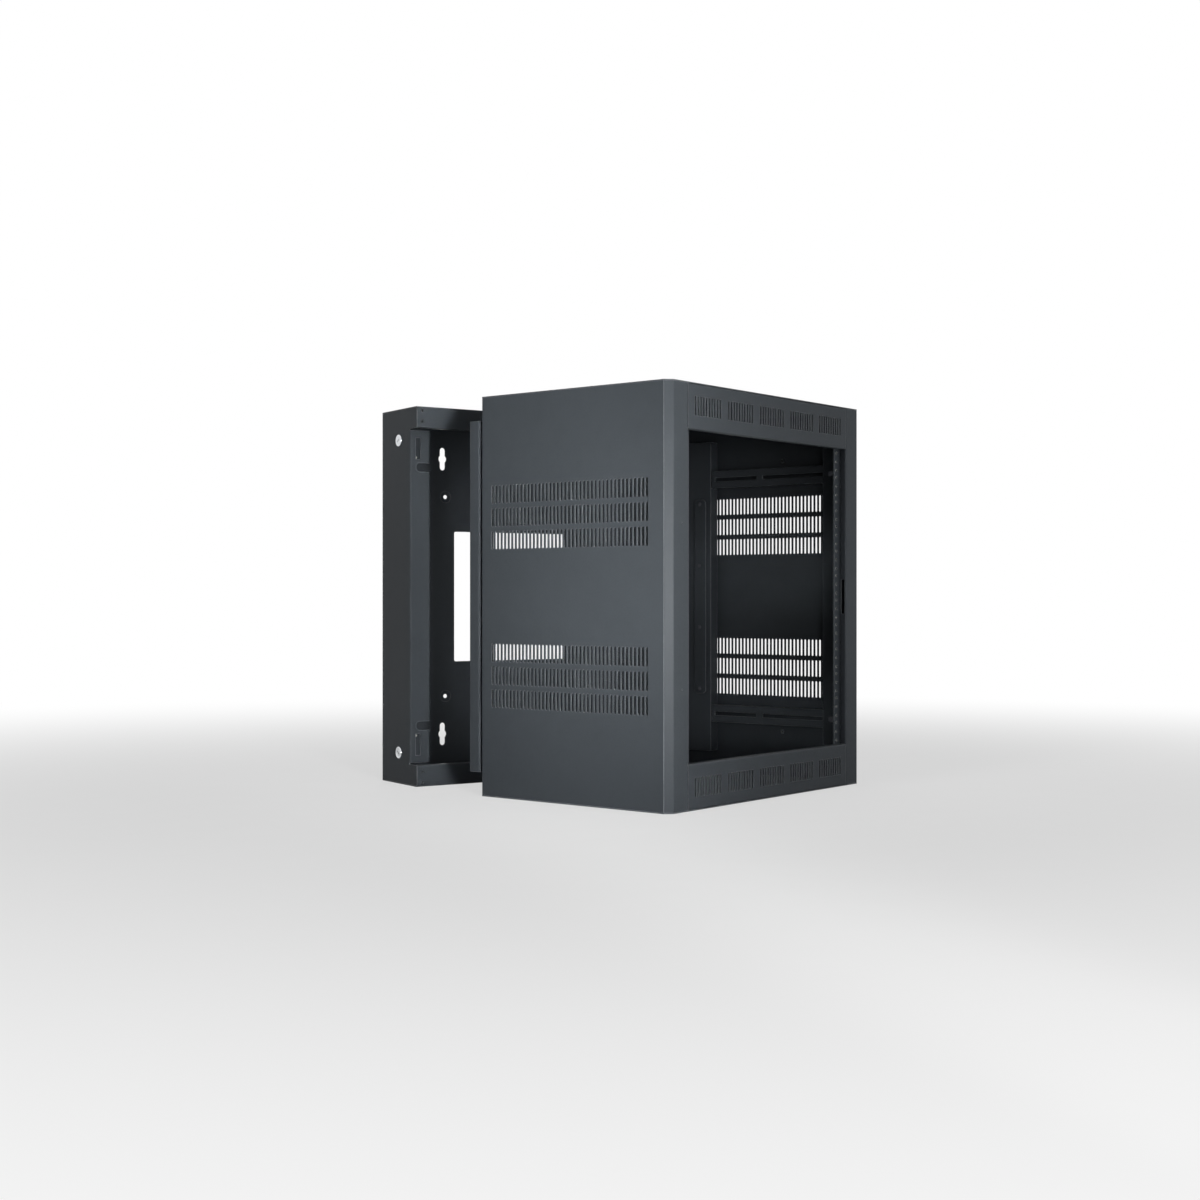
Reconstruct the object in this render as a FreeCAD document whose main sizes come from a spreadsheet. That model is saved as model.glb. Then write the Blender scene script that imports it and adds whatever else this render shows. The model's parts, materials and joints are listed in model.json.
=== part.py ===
"""Swing-out wall rack, 12 rack units, 19-inch.

A shallow wall section screws to the wall and a vented centre section hangs on it by two
lift-off hinges at the right, so the whole rack swings forward for access to its rear. Two
cam locks in the wall section hook the centre section shut. The rack rails bolt to slotted
channels, so their depth can be set.

Frame: X to the right, Y into the wall, Z up. The origin is the middle of the wall face.
Every piece is drawn with the rack shut. The centre section then turns about the hinge
axis to its resting angle.
"""
import FreeCAD, Part
import math
import os
import re
import Sketcher

V = FreeCAD.Vector

# Driving sizes, in millimetres, degrees or counts.
SIZES = {
    # both sections
    "overall_width": 588.0,
    "overall_height": 686.0,
    "section_gap": 6.0,
    "bend_radius": 1.0,
    "flange_height": 39.0,
    "flange_lip": 12.0,
    # wall section
    "wall_depth": 140.0,
    "wall_sheet": 1.9,
    "recess_depth": 27.0,
    "recess_clear": 2.0,
    "strip_width": 40.0,
    "strip_lip": 7.0,
    "corner_tab": 20.0,
    "cable_opening": 248.0,
    "cable_offset": -19.0,
    "keyhole_spread": 337.0,
    "keyhole_rise": 524.0,
    "keyhole_slot": 11.0,
    "keyhole_length": 43.0,
    "keyhole_round": 16.5,
    "keyhole_clip": 2.5,
    "wall_hole_spread": 324.0,
    "wall_hole_rise": 380.0,
    "wall_hole": 7.6,
    "notch_width": 16.0,
    "notch_inset": 12.0,
    "notch_rise": 470.0,
    # cam locks
    "lock_depth": 70.0,
    "lock_rise": 572.0,
    "lock_head": 22.0,
    "lock_head_thick": 3.0,
    "lock_barrel": 18.8,
    "lock_barrel_length": 13.0,
    "lock_plug": 12.0,
    "lock_stem": 9.0,
    "lock_fit": 0.05,
    "lock_clear": 0.2,
    "lock_nut": 27.0,
    "lock_nut_thick": 3.5,
    "cam_sheet": 2.5,
    "cam_width": 9.0,
    "cam_hub": 18.0,
    "cam_clear": 0.3,
    "cam_barb": 5.5,
    "cam_barb_length": 3.3,
    "cam_tip": 1.5,
    "cam_rest": 51.0,
    "cam_slot_width": 9.6,
    "cam_slot_height": 39.0,
    "cam_slot_inset": 11.0,
    "cam_slot_rise": 538.0,
    "cam_catch_drop": 4.0,
    "keyway_width": 1.6,
    "keyway_height": 9.0,
    # hinges
    "hinge_offset": 4.5,
    "leaf_sheet": 2.0,
    "leaf_reach": 30.0,
    "leaf_inset": 2.0,
    "knuckle": 8.0,
    "knuckle_gap": 0.3,
    "hinge_pin": 4.0,
    "hinge_fit": 0.05,
    "pin_proud": 1.0,
    "hinge_screw_inset": 10.8,
    "hinge_screw_low": 27.3,
    "hinge_screw_high": 8.0,
    "hinge_screw": 4.8,
    "screw_clear": 0.2,
    "flat_head": 8.4,
    "flat_head_thick": 0.8,
    "hinge_screw_length": 10.0,
    # centre section shell
    "cabinet_depth": 400.0,
    "body_sheet": 1.6,
    "bevel": 11.3,
    "stile_width": 50.0,
    "rail_height": 75.5,
    "front_lip": 12.0,
    "weld_flange": 14.0,
    "neck_groove": 12.0,
    "neck_back": 3.0,
    "neck_width": 45.0,
    "neck_lip": 15.0,
    "strike_height": 62.0,
    "strike_depth": 6.0,
    "door_hole": 3.2,
    "door_hole_inset": 34.0,
    "door_hole_high": 116.0,
    "door_hole_low": 148.0,
    # side vents
    "vent_width": 4.0,
    "vent_height": 31.0,
    "vent_pitch": 8.08,
    "vent_rear": 20.0,
    "vent_row_pitch": 39.0,
    "vent_rows": 3,
    "vent_front": 42.5,
    "vent_low": 80.5,
    # front rail vents
    "rail_vent_pitch": 7.7,
    "rail_vent_count": 10,
    "rail_vent_groups": 5,
    "rail_vent_group_pitch": 94.5,
    "rail_vent_inset": 21.5,
    # fittings inside
    "channel_height": 33.0,
    "channel_rise": 453.0,
    "channel_depth": 22.0,
    "channel_slot": 7.0,
    "channel_slot_end": 8.0,
    "channel_bridge": 15.0,
    "channel_front_slot": 162.0,
    "fitting_gap": 2.0,
    "post_height": 600.0,
    "post_width": 66.0,
    "post_hole": 7.0,
    "post_hole_pitch": 76.2,
    "post_hole_count": 8,
    "post_hole_inset": 10.0,
    "plate_height": 378.0,
    "plate_width": 27.0,
    "plate_sheet": 2.0,
    "plate_inset": 11.0,
    "plate_screw_pitch": 120.0,
    "insert": 9.5,
    "insert_thick": 1.5,
    "insert_depth": 167.0,
    "insert_rise": 514.0,
    # rack rails
    "rack_units": 12,
    "unit_height": 44.45,
    "rack_hole_spread": 465.1,
    "rack_hole": 4.4,
    "rack_hole_first": 6.35,
    "rack_hole_step": 15.875,
    "rack_rail_setback": 13.0,
    "rack_rail_sheet": 2.5,
    "rack_rail_edge": 8.5,
    "rack_rail_depth": 50.0,
    "rack_rail_spare": 8.0,
    "slide_clear": 0.3,
    "rail_bolt": 6.0,
    "rail_bolt_head": 11.0,
    "rail_bolt_head_thick": 3.0,
    "rail_bolt_depth": 32.0,
    "rail_nut": 12.0,
    "rail_nut_thick": 4.0,
    # resting place of the centre section
    "swing_rest": 17.7,
}

# Places worked out from the driving sizes. Depths are measured out from the wall.
PLACES = {
    "half_width": "overall_width / 2",
    "half_height": "overall_height / 2",
    "recess_half": "half_height - flange_height",
    "strip_depth": "wall_depth - recess_depth",
    "rear_depth": "wall_depth + section_gap",
    "front_depth": "rear_depth + cabinet_depth",
    "neck_depth": "strip_depth + neck_back",
    "neck_half": "recess_half - recess_clear",
    "wall_inner": "half_width - wall_sheet",
    "body_inner": "half_width - body_sheet",
    "web_face": "body_inner - channel_depth",
    "vent_count": "floor((cabinet_depth - vent_front - vent_width - vent_rear) / vent_pitch) + 1",
    "rail_vent_run": "rail_vent_pitch * (rail_vent_count - 1)",
    "rail_vent_high": "half_height - rail_vent_inset",
    "rail_vent_low": "rail_vent_high - vent_height",
    "post_front": "rear_depth + weld_flange + fitting_gap + post_width",
    "post_rear": "rear_depth + weld_flange + fitting_gap",
    "channel_front": "front_depth - bevel - weld_flange - fitting_gap",
    "channel_rear": "post_front + fitting_gap",
    "rack_rail_face": "front_depth - rack_rail_setback",
    "rack_rail_outer": "web_face - slide_clear",
    "rack_half": "rack_units * unit_height / 2",
    "pivot_x": "half_width + hinge_offset",
    "pivot_depth": "wall_depth + section_gap / 2",
    "leaf_low": "recess_half + leaf_inset",
    "leaf_high": "half_height - leaf_inset",
    "screw_low": "half_height - hinge_screw_low",
    "screw_high": "half_height - hinge_screw_high",
    "screw_x": "half_width - hinge_screw_inset",
    "lock_z": "lock_rise / 2",
    "lock_end": "half_width - lock_barrel_length",
    "cam_near": "lock_end - cam_clear",
    "cam_heel": "lock_depth - recess_depth + neck_back + body_sheet + cam_clear",
    "cam_reach": "cam_heel + cam_barb_length",
    "cam_slot_low": "cam_slot_rise / 2 - cam_slot_height / 2",
    "cam_slot_high": "cam_slot_rise / 2 + cam_slot_height / 2",
    "strip_cut": "strip_lip * 2 + 6",
}

WORD = re.compile(r"[a-z][a-z_]*")
STEPS = {"left": (-1, 0), "right": (1, 0), "down": (0, -1), "up": (0, 1)}

doc = FreeCAD.newDocument("WallRack")
sheet = doc.addObject("Spreadsheet::Sheet", "Sizes")
for row, (alias, size) in enumerate(SIZES.items(), 1):
    sheet.set(f"A{row}", alias)
    sheet.set(f"B{row}", str(size))
    sheet.setAlias(f"B{row}", alias)
doc.recompute()


def bound(text):
    """The text as an expression, with each named size or place taken from the sheet."""
    def swap(match):
        word = match.group()
        if word in PLACES:
            return "(" + bound(PLACES[word]) + ")"
        return "Sizes." + word if word in SIZES else word
    return WORD.sub(swap, text)


def sub_part(name):
    """An empty body, which may hold several separate solids."""
    body = doc.addObject("PartDesign::Body", name)
    body.Label = name
    body.AllowCompound = True
    return body


def on_plane(body, plane, offset):
    """A sketch on one of the body's own planes, moved along the plane's normal by offset.

    XY looks down Z. XZ has X across and Z up, and its offset is a depth out from the wall.
    YZ has Y across and Z up, and its offset is an X.
    """
    sketch = body.newObject("Sketcher::SketchObject", body.Name + "_sketch")
    support = [item for item in body.Origin.OriginFeatures if item.Role == plane + "_Plane"]
    sketch.AttachmentSupport = [(support[0], "")]
    sketch.MapMode = "FlatFace"
    sketch.setExpression("AttachmentOffset.Base.z", bound(offset))
    return sketch


def hold(sketch, kind, geometry, point, text):
    """Ties one coordinate of a point to an expression."""
    index = sketch.addConstraint(Sketcher.Constraint(kind, -1, 1, geometry, point, 1.0))
    sketch.setExpression(f"Constraints[{index}]", bound(text))


def outline(sketch, corners):
    """A closed outline of straight lines through the corners, given as pairs of expressions."""
    count = len(corners)
    spots = [V(index, index * index, 0) for index in range(count + 1)]
    lines = [Part.LineSegment(spots[index], spots[index + 1]) for index in range(count)]
    first = sketch.addGeometry(lines)[0]
    for index in range(count):
        follower = first + (index + 1) % count
        sketch.addConstraint(Sketcher.Constraint("Coincident", first + index, 2, follower, 1))
    for index, (across, up) in enumerate(corners):
        hold(sketch, "DistanceX", first + index, 1, across)
        hold(sketch, "DistanceY", first + index, 1, up)


def oblong(sketch, left, right, low, high):
    """A closed rectangle."""
    outline(sketch, [(left, low), (right, low), (right, high), (left, high)])


def disc(sketch, across, up, diameter):
    """A circle, its centre and diameter given as expressions."""
    circle = sketch.addGeometry(Part.Circle(V(1, 1, 0), V(0, 0, 1), 1.0))
    hold(sketch, "DistanceX", circle, 3, across)
    hold(sketch, "DistanceY", circle, 3, up)
    index = sketch.addConstraint(Sketcher.Constraint("Diameter", circle, 2.0))
    sketch.setExpression(f"Constraints[{index}]", bound(diameter))


def many_sided(sketch, across, up, diameter, sides=6):
    """A regular outline inscribed in a circle, for the small holes and heads that repeat."""
    corners = []
    for index in range(sides):
        angle = math.pi * (2 * index + 1) / sides
        corners.append((f"{across} + {math.cos(angle):.5f} * ({diameter}) / 2",
                        f"{up} + {math.sin(angle):.5f} * ({diameter}) / 2"))
    outline(sketch, corners)


def finish_feature(body, feature, refine=True):
    """Makes the feature the body's tip and works it out."""
    feature.Refine = refine
    body.Tip = feature
    doc.recompute()
    return feature


def pad(body, sketch, length):
    """Adds the sketch's outlines, drawn out along its normal."""
    feature = body.newObject("PartDesign::Pad", body.Name + "_pad")
    feature.Profile = sketch
    feature.setExpression("Length", bound(length))
    return finish_feature(body, feature)


def cut(body, sketch, reach):
    """Cuts the sketch's outlines away to half the reach on both sides of its plane."""
    before = body.Shape.Volume
    feature = body.newObject("PartDesign::Pocket", body.Name + "_pocket")
    feature.Profile = sketch
    feature.Midplane = True
    feature.setExpression("Length", bound(reach))
    finish_feature(body, feature)
    if not feature.Shape.Volume < before:
        raise RuntimeError(f"{body.Label}: a pocket cut nothing")
    return feature


def edges_through(feature, sketch, corners):
    """Names of the feature's straight edges that leave the sketch at the given corners."""
    along = sketch.Placement.Rotation.multVec(V(0, 0, 1))
    spots = [sketch.Placement.multVec(sketch.Geometry[corner].StartPoint) for corner in corners]
    names = []
    for number, edge in enumerate(feature.Shape.Edges, 1):
        ends = [vertex.Point for vertex in edge.Vertexes]
        if len(ends) != 2 or (ends[1] - ends[0]).cross(along).Length > 1e-6:
            continue
        if any((ends[0] - spot).cross(along).Length < 1e-4 for spot in spots):
            names.append(f"Edge{number}")
    return names


def soften(body, feature, sketch, corners, radius):
    """Rounds the edges that leave the sketch at the given corners."""
    fillet = body.newObject("PartDesign::Fillet", body.Name + "_fillet")
    fillet.Base = (feature, edges_through(feature, sketch, corners))
    fillet.setExpression("Radius", bound(radius))
    return finish_feature(body, fillet)


def folded(body, plane, offset, length, thick, inside, start, runs, mirror=None, rounded=True):
    """A strip of sheet metal folded along runs that go left, right, up or down.

    Each run ends at the coordinate it names. The sheet lies on the inside hand of the
    path, left or right. A rounded strip has its folds rounded outside. A mirror of "x" or
    "y" turns the section over in that direction of the sketch.
    """
    flip = {"x": (-1, 1), "y": (1, -1)}.get(mirror, (1, 1))
    hand = 1 if inside == "left" else -1
    corners = [start]
    ways = []
    for way, place in runs:
        across, up = corners[-1]
        ways.append(STEPS[way])
        corners.append((place, up) if way in ("left", "right") else (across, place))
    normals = [(-hand * way[1], hand * way[0]) for way in ways]
    within = []
    for index, (across, up) in enumerate(corners):
        near = normals[max(index - 1, 0)]
        far = normals[min(index, len(runs) - 1)]
        steps = (near[0], near[1]) if near == far else (near[0] + far[0], near[1] + far[1])
        within.append((f"{across} + {steps[0]} * {thick}", f"{up} + {steps[1]} * {thick}"))
    points = corners + within[::-1]
    points = [(f"{flip[0]} * ({across})", f"{flip[1]} * ({up})") for across, up in points]
    sketch = on_plane(body, plane, offset)
    outline(sketch, points)
    feature = pad(body, sketch, length)
    outer = []
    for index in range(1, len(runs)):
        turn = ways[index - 1][0] * ways[index][1] - ways[index - 1][1] * ways[index][0]
        outer.append(index if turn * hand > 0 else len(points) - 1 - index)
    if rounded:
        soften(body, feature, sketch, outer, f"bend_radius + {thick}")


def in_centre_section(body):
    """Turns a sub-part drawn shut to the resting angle, about the hinge axis."""
    turn = "swing_rest * 1 deg"
    body.setExpression("Placement.Rotation.Angle", bound(turn))
    shift_x = f"pivot_x - cos({turn}) * pivot_x - sin({turn}) * pivot_depth"
    shift_y = f"-pivot_depth - sin({turn}) * pivot_x + cos({turn}) * pivot_depth"
    body.setExpression("Placement.Base.x", bound(shift_x))
    body.setExpression("Placement.Base.y", bound(shift_y))


def side_x(side, text):
    """An X on the left (-1) or the right (1) side."""
    return f"{side} * ({text})"


def sheet_offset(side, face, thick):
    """Where a sheet on a side starts, when the sketch's normal is +X and face is outside."""
    return f"-({face})" if side < 0 else f"{face} - {thick}"


# ---------------------------------------------------------------- wall section

def keyhole(sketch, across, up):
    """A slot that runs up and down through a round, so a screw head enters at the middle."""
    half = "keyhole_slot / 2"
    tall = "keyhole_length / 2"
    round_half = "keyhole_round / 2"
    meet = f"sqrt(({round_half})^2 - ({half})^2)"
    right = [(f"{half} - keyhole_clip", tall), (half, f"{tall} - keyhole_clip"), (half, meet),
             (f"0.86603 * {round_half}", f"0.5 * {round_half}"), (round_half, "0")]
    right += [(x, f"-({z})") for x, z in right[-2::-1]]
    ring = right + [(f"-({x})", z) for x, z in right[::-1]]
    outline(sketch, [(f"{across} + {x}", f"{up} + {z}") for x, z in ring])


def wall_back_plate():
    """Back of the wall section: cable opening, four double keyholes, four round holes."""
    body = sub_part("wall_back_plate")
    sketch = on_plane(body, "XZ", "0")
    oblong(sketch, "-half_width", "half_width", "-half_height", "half_height")
    pad(body, sketch, "wall_sheet")
    holes = on_plane(body, "XZ", "0")
    for side in (-1, 1):
        for end in (-1, 1):
            disc(holes, side_x(side, "wall_hole_spread / 2"), f"{end} * wall_hole_rise / 2",
                 "wall_hole")
            keyhole(holes, side_x(side, "keyhole_spread / 2"), f"{end} * keyhole_rise / 2")
    oblong(holes, "cable_offset - cable_opening / 2", "cable_offset + cable_opening / 2",
           "-cable_opening / 2", "cable_opening / 2")
    cut(body, holes, "10 * wall_sheet")


def wall_side(side):
    """Side of the wall section, stepped back and folded in between the end flanges."""
    body = sub_part("wall_side_left" if side < 0 else "wall_side_right")
    folded(body, "XY", "-neck_half", "2 * neck_half", "wall_sheet", "left",
           ("-half_width", "-wall_sheet"),
           [("down", "-strip_depth"), ("right", "-half_width + strip_width"),
            ("up", "-strip_depth + strip_lip")], "x" if side > 0 else None)
    web = on_plane(body, "YZ", sheet_offset(side, "half_width", "wall_sheet"))
    tabs = on_plane(body, "XZ", "wall_depth - 2 * wall_sheet")
    front = "-wall_depth + wall_sheet"
    step = "-strip_depth + wall_sheet + bend_radius"
    top = "half_height - wall_sheet"
    for end in (-1, 1):
        outline(web, [("-wall_sheet", f"{end} * neck_half"), (step, f"{end} * neck_half"),
                      (step, f"{end} * recess_half"), (front, f"{end} * recess_half"),
                      (front, f"{end} * ({top} - bend_radius)"),
                      (f"{front} + bend_radius", f"{end} * ({top})"),
                      ("-wall_sheet", f"{end} * ({top})")])
        oblong(tabs, side_x(side, "half_width - corner_tab"), side_x(side, "half_width"),
               f"{end} * (recess_half + 2 * wall_sheet)", f"{end} * ({top} - bend_radius)")
    pad(body, web, "wall_sheet")
    pad(body, tabs, "wall_sheet")
    slots = on_plane(body, "XZ", "strip_depth")
    holes = on_plane(body, "XZ", "wall_depth - 1.5 * wall_sheet")
    blunt = "half_width - notch_inset"
    shoulder = "half_width - notch_inset - 0.3 * notch_width"
    open_end = "half_width - strip_width - wall_sheet"
    for end in (-1, 1):
        oblong(slots, side_x(side, "half_width - cam_slot_inset"),
               side_x(side, "half_width - cam_slot_inset - cam_slot_width"),
               f"{end} * cam_slot_low", f"{end} * cam_slot_high")
        notch = [(open_end, 0.5), (shoulder, 0.5), (blunt, 0.2), (blunt, -0.2),
                 (shoulder, -0.5), (open_end, -0.5)]
        outline(slots, [(side_x(side, across), f"{end} * notch_rise / 2 + {share} * notch_width")
                        for across, share in notch])
        for height in ("screw_low", "screw_high"):
            many_sided(holes, side_x(side, "screw_x"), f"{end} * {height}",
                       "hinge_screw + 2 * screw_clear")
    cut(body, slots, "strip_cut")
    cut(body, holes, "2 * wall_sheet")
    if side < 0:
        lock_holes = on_plane(body, "YZ", "-half_width")
        for end in (-1, 1):
            many_sided(lock_holes, "-wall_depth + lock_depth", f"{end} * lock_z",
                       "lock_barrel + 2 * lock_clear", 8)
        cut(body, lock_holes, "4 * wall_sheet")


def wall_cap(end):
    """Top or bottom of the wall section, with its front flange and lip."""
    body = sub_part("wall_cap_bottom" if end < 0 else "wall_cap_top")
    folded(body, "YZ", "-half_width", "overall_width", "wall_sheet", "left",
           ("-wall_sheet", "half_height"),
           [("left", "-wall_depth"), ("down", "recess_half"),
            ("right", "-wall_depth + flange_lip")], "y" if end < 0 else None)
    lip_ends = on_plane(body, "XZ", "wall_depth - (flange_lip + wall_sheet) / 2")
    for side in (-1, 1):
        oblong(lip_ends, side_x(side, "wall_inner"), side_x(side, "half_width + wall_sheet"),
               f"{end} * (recess_half - wall_sheet)",
               f"{end} * (recess_half + wall_sheet + bend_radius)")
    cut(body, lip_ends, "flange_lip - wall_sheet")
    holes = on_plane(body, "XZ", "wall_depth")
    for side in (-1, 1):
        for height in ("screw_low", "screw_high"):
            many_sided(holes, side_x(side, "screw_x"), f"{end} * {height}",
                       "hinge_screw + 2 * screw_clear")
    cut(body, holes, "4 * wall_sheet")


# ---------------------------------------------------------------------- hinges

def hinge_leaf(end, on_wall):
    """One leaf of a lift-off hinge. The wall leaf's knuckle is the lower one and holds the pin."""
    owner = "wall" if on_wall else "cabinet"
    body = sub_part(f"hinge_leaf_{owner}_" + ("bottom" if end < 0 else "top"))
    middle = f"{end} * (leaf_low + leaf_high) / 2"
    half = "(leaf_high - leaf_low) / 2"
    plate_depth = "wall_depth" if on_wall else "rear_depth - leaf_sheet"
    knuckle_low = f"{middle} - {half}" if on_wall else f"{middle} + knuckle_gap / 2"
    plate = on_plane(body, "XZ", plate_depth)
    low, high = f"{middle} - {half}", f"{middle} + {half}"
    knuckle_high = f"{knuckle_low} + {half} - knuckle_gap / 2"
    if on_wall:
        outline(plate, [("half_width - leaf_reach", low), ("pivot_x", low),
                        ("pivot_x", knuckle_high), ("half_width", knuckle_high),
                        ("half_width", high), ("half_width - leaf_reach", high)])
    else:
        outline(plate, [("half_width - leaf_reach", low), ("half_width", low),
                        ("half_width", knuckle_low), ("pivot_x", knuckle_low),
                        ("pivot_x", high), ("half_width - leaf_reach", high)])
    pad(body, plate, "leaf_sheet")
    knuckle = on_plane(body, "XY", knuckle_low)
    many_sided(knuckle, "pivot_x", "-pivot_depth", "knuckle", 8)
    pad(body, knuckle, f"{half} - knuckle_gap / 2")
    bore = on_plane(body, "XY", "0")
    disc(bore, "pivot_x", "-pivot_depth", "hinge_pin + 2 * hinge_fit")
    cut(body, bore, "2 * overall_height")
    holes = on_plane(body, "XZ", plate_depth)
    for height in ("screw_low", "screw_high"):
        many_sided(holes, "screw_x", f"{end} * {height}", "hinge_screw + 2 * screw_clear")
    cut(body, holes, "4 * leaf_sheet")
    if not on_wall:
        in_centre_section(body)


def hinge_pin(end):
    """Pin of one hinge, set in the wall leaf's knuckle."""
    body = sub_part("hinge_pin_" + ("bottom" if end < 0 else "top"))
    shaft = on_plane(body, "XY", f"{end} * (leaf_low + leaf_high) / 2 - (leaf_high - leaf_low) / 2")
    disc(shaft, "pivot_x", "-pivot_depth", "hinge_pin")
    pad(body, shaft, "leaf_high - leaf_low + pin_proud")


def hinge_screws(on_wall):
    """The four low-head screws that hold one side's two leaves."""
    body = sub_part("hinge_screws_" + ("wall" if on_wall else "cabinet"))
    leaf_face = "wall_depth + leaf_sheet" if on_wall else "rear_depth - leaf_sheet"
    head_start = leaf_face if on_wall else f"{leaf_face} - flat_head_thick"
    shank_start = f"{leaf_face} - hinge_screw_length" if on_wall else leaf_face
    heads = on_plane(body, "XZ", head_start)
    shanks = on_plane(body, "XZ", shank_start)
    for end in (-1, 1):
        for height in ("screw_low", "screw_high"):
            many_sided(heads, "screw_x", f"{end} * {height}", "flat_head")
            many_sided(shanks, "screw_x", f"{end} * {height}", "hinge_screw")
    pad(body, heads, "flat_head_thick")
    pad(body, shanks, "hinge_screw_length")
    if not on_wall:
        in_centre_section(body)


# ------------------------------------------------------------------- cam locks

def lock_bodies():
    """The two lock housings, headed outside the left wall."""
    body = sub_part("lock_bodies")
    heads = on_plane(body, "YZ", "-half_width - lock_head_thick")
    barrels = on_plane(body, "YZ", "-half_width")
    bores = on_plane(body, "YZ", "-half_width")
    for end in (-1, 1):
        place = ("-wall_depth + lock_depth", f"{end} * lock_z")
        disc(heads, *place, "lock_head")
        many_sided(barrels, *place, "lock_barrel", 8)
        disc(bores, *place, "lock_plug + 2 * lock_fit")
    pad(body, heads, "lock_head_thick")
    pad(body, barrels, "lock_barrel_length")
    cut(body, bores, "4 * lock_barrel_length")


def lock_nuts():
    """The two hexagon nuts that clamp the lock housings from inside."""
    body = sub_part("lock_nuts")
    blanks = on_plane(body, "YZ", "-wall_inner")
    bores = on_plane(body, "YZ", "-wall_inner")
    across = "-wall_depth + lock_depth"
    for end in (-1, 1):
        up = f"{end} * lock_z"
        many_sided(blanks, across, up, "lock_nut")
        many_sided(bores, across, up, "lock_barrel", 8)
    pad(body, blanks, "lock_nut_thick")
    cut(body, bores, "4 * lock_nut_thick")


def at_lock(body, end):
    """Puts a sub-part drawn about the lock's own axis at its lock, turned to rest."""
    body.Placement = FreeCAD.Placement(V(0, 0, 0), FreeCAD.Rotation(V(1, 0, 0), 1))
    body.setExpression("Placement.Rotation.Angle", bound(f"{end} * cam_rest * 1 deg"))
    body.setExpression("Placement.Base.y", bound("-wall_depth + lock_depth"))
    body.setExpression("Placement.Base.z", bound(f"{end} * lock_z"))


def lock_plug(end):
    """The keyed core of a lock, which carries the cam."""
    body = sub_part("lock_plug_" + ("lower" if end < 0 else "upper"))
    core = on_plane(body, "YZ", "-half_width - lock_head_thick")
    disc(core, "0", "0", "lock_plug")
    pad(body, core, "lock_head_thick + half_width - cam_near")
    stem = on_plane(body, "YZ", "-cam_near")
    many_sided(stem, "0", "0", "lock_stem", 4)
    pad(body, stem, "cam_sheet")
    keyway = on_plane(body, "YZ", "-half_width - lock_head_thick")
    oblong(keyway, "-keyway_width / 2", "keyway_width / 2", "-keyway_height / 2", "keyway_height / 2")
    cut(body, keyway, "2 * lock_head_thick")
    at_lock(body, end)


def lock_cam(end):
    """The hooked cam: it swings out through the slot and its barb catches the neck."""
    body = sub_part("lock_cam_" + ("lower" if end < 0 else "upper"))
    arm = on_plane(body, "YZ", "-cam_near")
    half = "cam_width / 2"
    hub = "cam_hub / 2"
    points = [("-cam_reach", f"-{half}"), ("-cam_reach", f"{half} + cam_barb - cam_tip"),
              ("-cam_reach + cam_tip", f"{half} + cam_barb"), ("-cam_heel", f"{half} + cam_barb"),
              ("-cam_heel", half), (f"-{hub}", half), (f"-0.5 * {hub}", hub), (f"0.5 * {hub}", hub),
              (hub, f"0.5 * {hub}"), (hub, f"-0.5 * {hub}"), (f"0.5 * {hub}", f"-{hub}"),
              (f"-0.5 * {hub}", f"-{hub}"), (f"-{hub}", f"-{half}")]
    outline(arm, [(across, f"{end} * ({up})") for across, up in points])
    pad(body, arm, "cam_sheet")
    bore = on_plane(body, "YZ", "-cam_near")
    many_sided(bore, "0", "0", "lock_stem", 4)
    cut(body, bore, "4 * cam_sheet")
    at_lock(body, end)


def lock_screw(end):
    """The screw head that holds the cam on the plug."""
    body = sub_part("lock_screw_" + ("lower" if end < 0 else "upper"))
    head = on_plane(body, "YZ", "-cam_near + cam_sheet")
    many_sided(head, "0", "0", "lock_plug")
    pad(body, head, "cam_sheet")
    at_lock(body, end)


# ------------------------------------------------------- centre section, shell

def side_panel(side):
    """Flat side with two blocks of vent slots, three rows in each."""
    body = sub_part("side_panel_left" if side < 0 else "side_panel_right")
    start = sheet_offset(side, "half_width", "body_sheet")
    sketch = on_plane(body, "YZ", start)
    oblong(sketch, "-front_depth + bevel", "-rear_depth", "-half_height + body_sheet",
           "half_height - body_sheet")
    pad(body, sketch, "body_sheet")
    slot = on_plane(body, "YZ", start)
    oblong(slot, "-front_depth + vent_front", "-front_depth + vent_front + vent_width",
           "vent_low", "vent_low + vent_height")
    first = cut(body, slot, "4 * body_sheet")
    along = body.newObject("PartDesign::LinearPattern", body.Name + "_row")
    along.Direction = (slot, ["H_Axis"])
    along.setExpression("Length", bound("vent_pitch * (vent_count - 1)"))
    along.setExpression("Occurrences", bound("vent_count"))
    rows = body.newObject("PartDesign::LinearPattern", body.Name + "_rows")
    rows.Direction = (slot, ["V_Axis"])
    rows.setExpression("Length", bound("vent_row_pitch * (vent_rows - 1)"))
    rows.setExpression("Occurrences", bound("vent_rows"))
    blocks = body.newObject("PartDesign::Mirrored", body.Name + "_blocks")
    middle = [item for item in body.Origin.OriginFeatures if item.Role == "XY_Plane"]
    blocks.MirrorPlane = (middle[0], [""])
    vents = body.newObject("PartDesign::MultiTransform", body.Name + "_vents")
    vents.Originals = [first]
    vents.Transformations = [along, rows, blocks]
    finish_feature(body, vents, refine=False)
    in_centre_section(body)


def end_panel(end):
    """Flat top or bottom, clipped at the front corners to follow the bevels."""
    body = sub_part("bottom_panel" if end < 0 else "top_panel")
    start = "-half_height" if end < 0 else "half_height - body_sheet"
    sketch = on_plane(body, "XY", start)
    outline(sketch, [("-half_width", "-rear_depth"), ("-half_width", "-front_depth + bevel"),
                     ("-half_width + bevel", "-front_depth"), ("half_width - bevel", "-front_depth"),
                     ("half_width", "-front_depth + bevel"), ("half_width", "-rear_depth")])
    pad(body, sketch, "body_sheet")
    in_centre_section(body)


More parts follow.
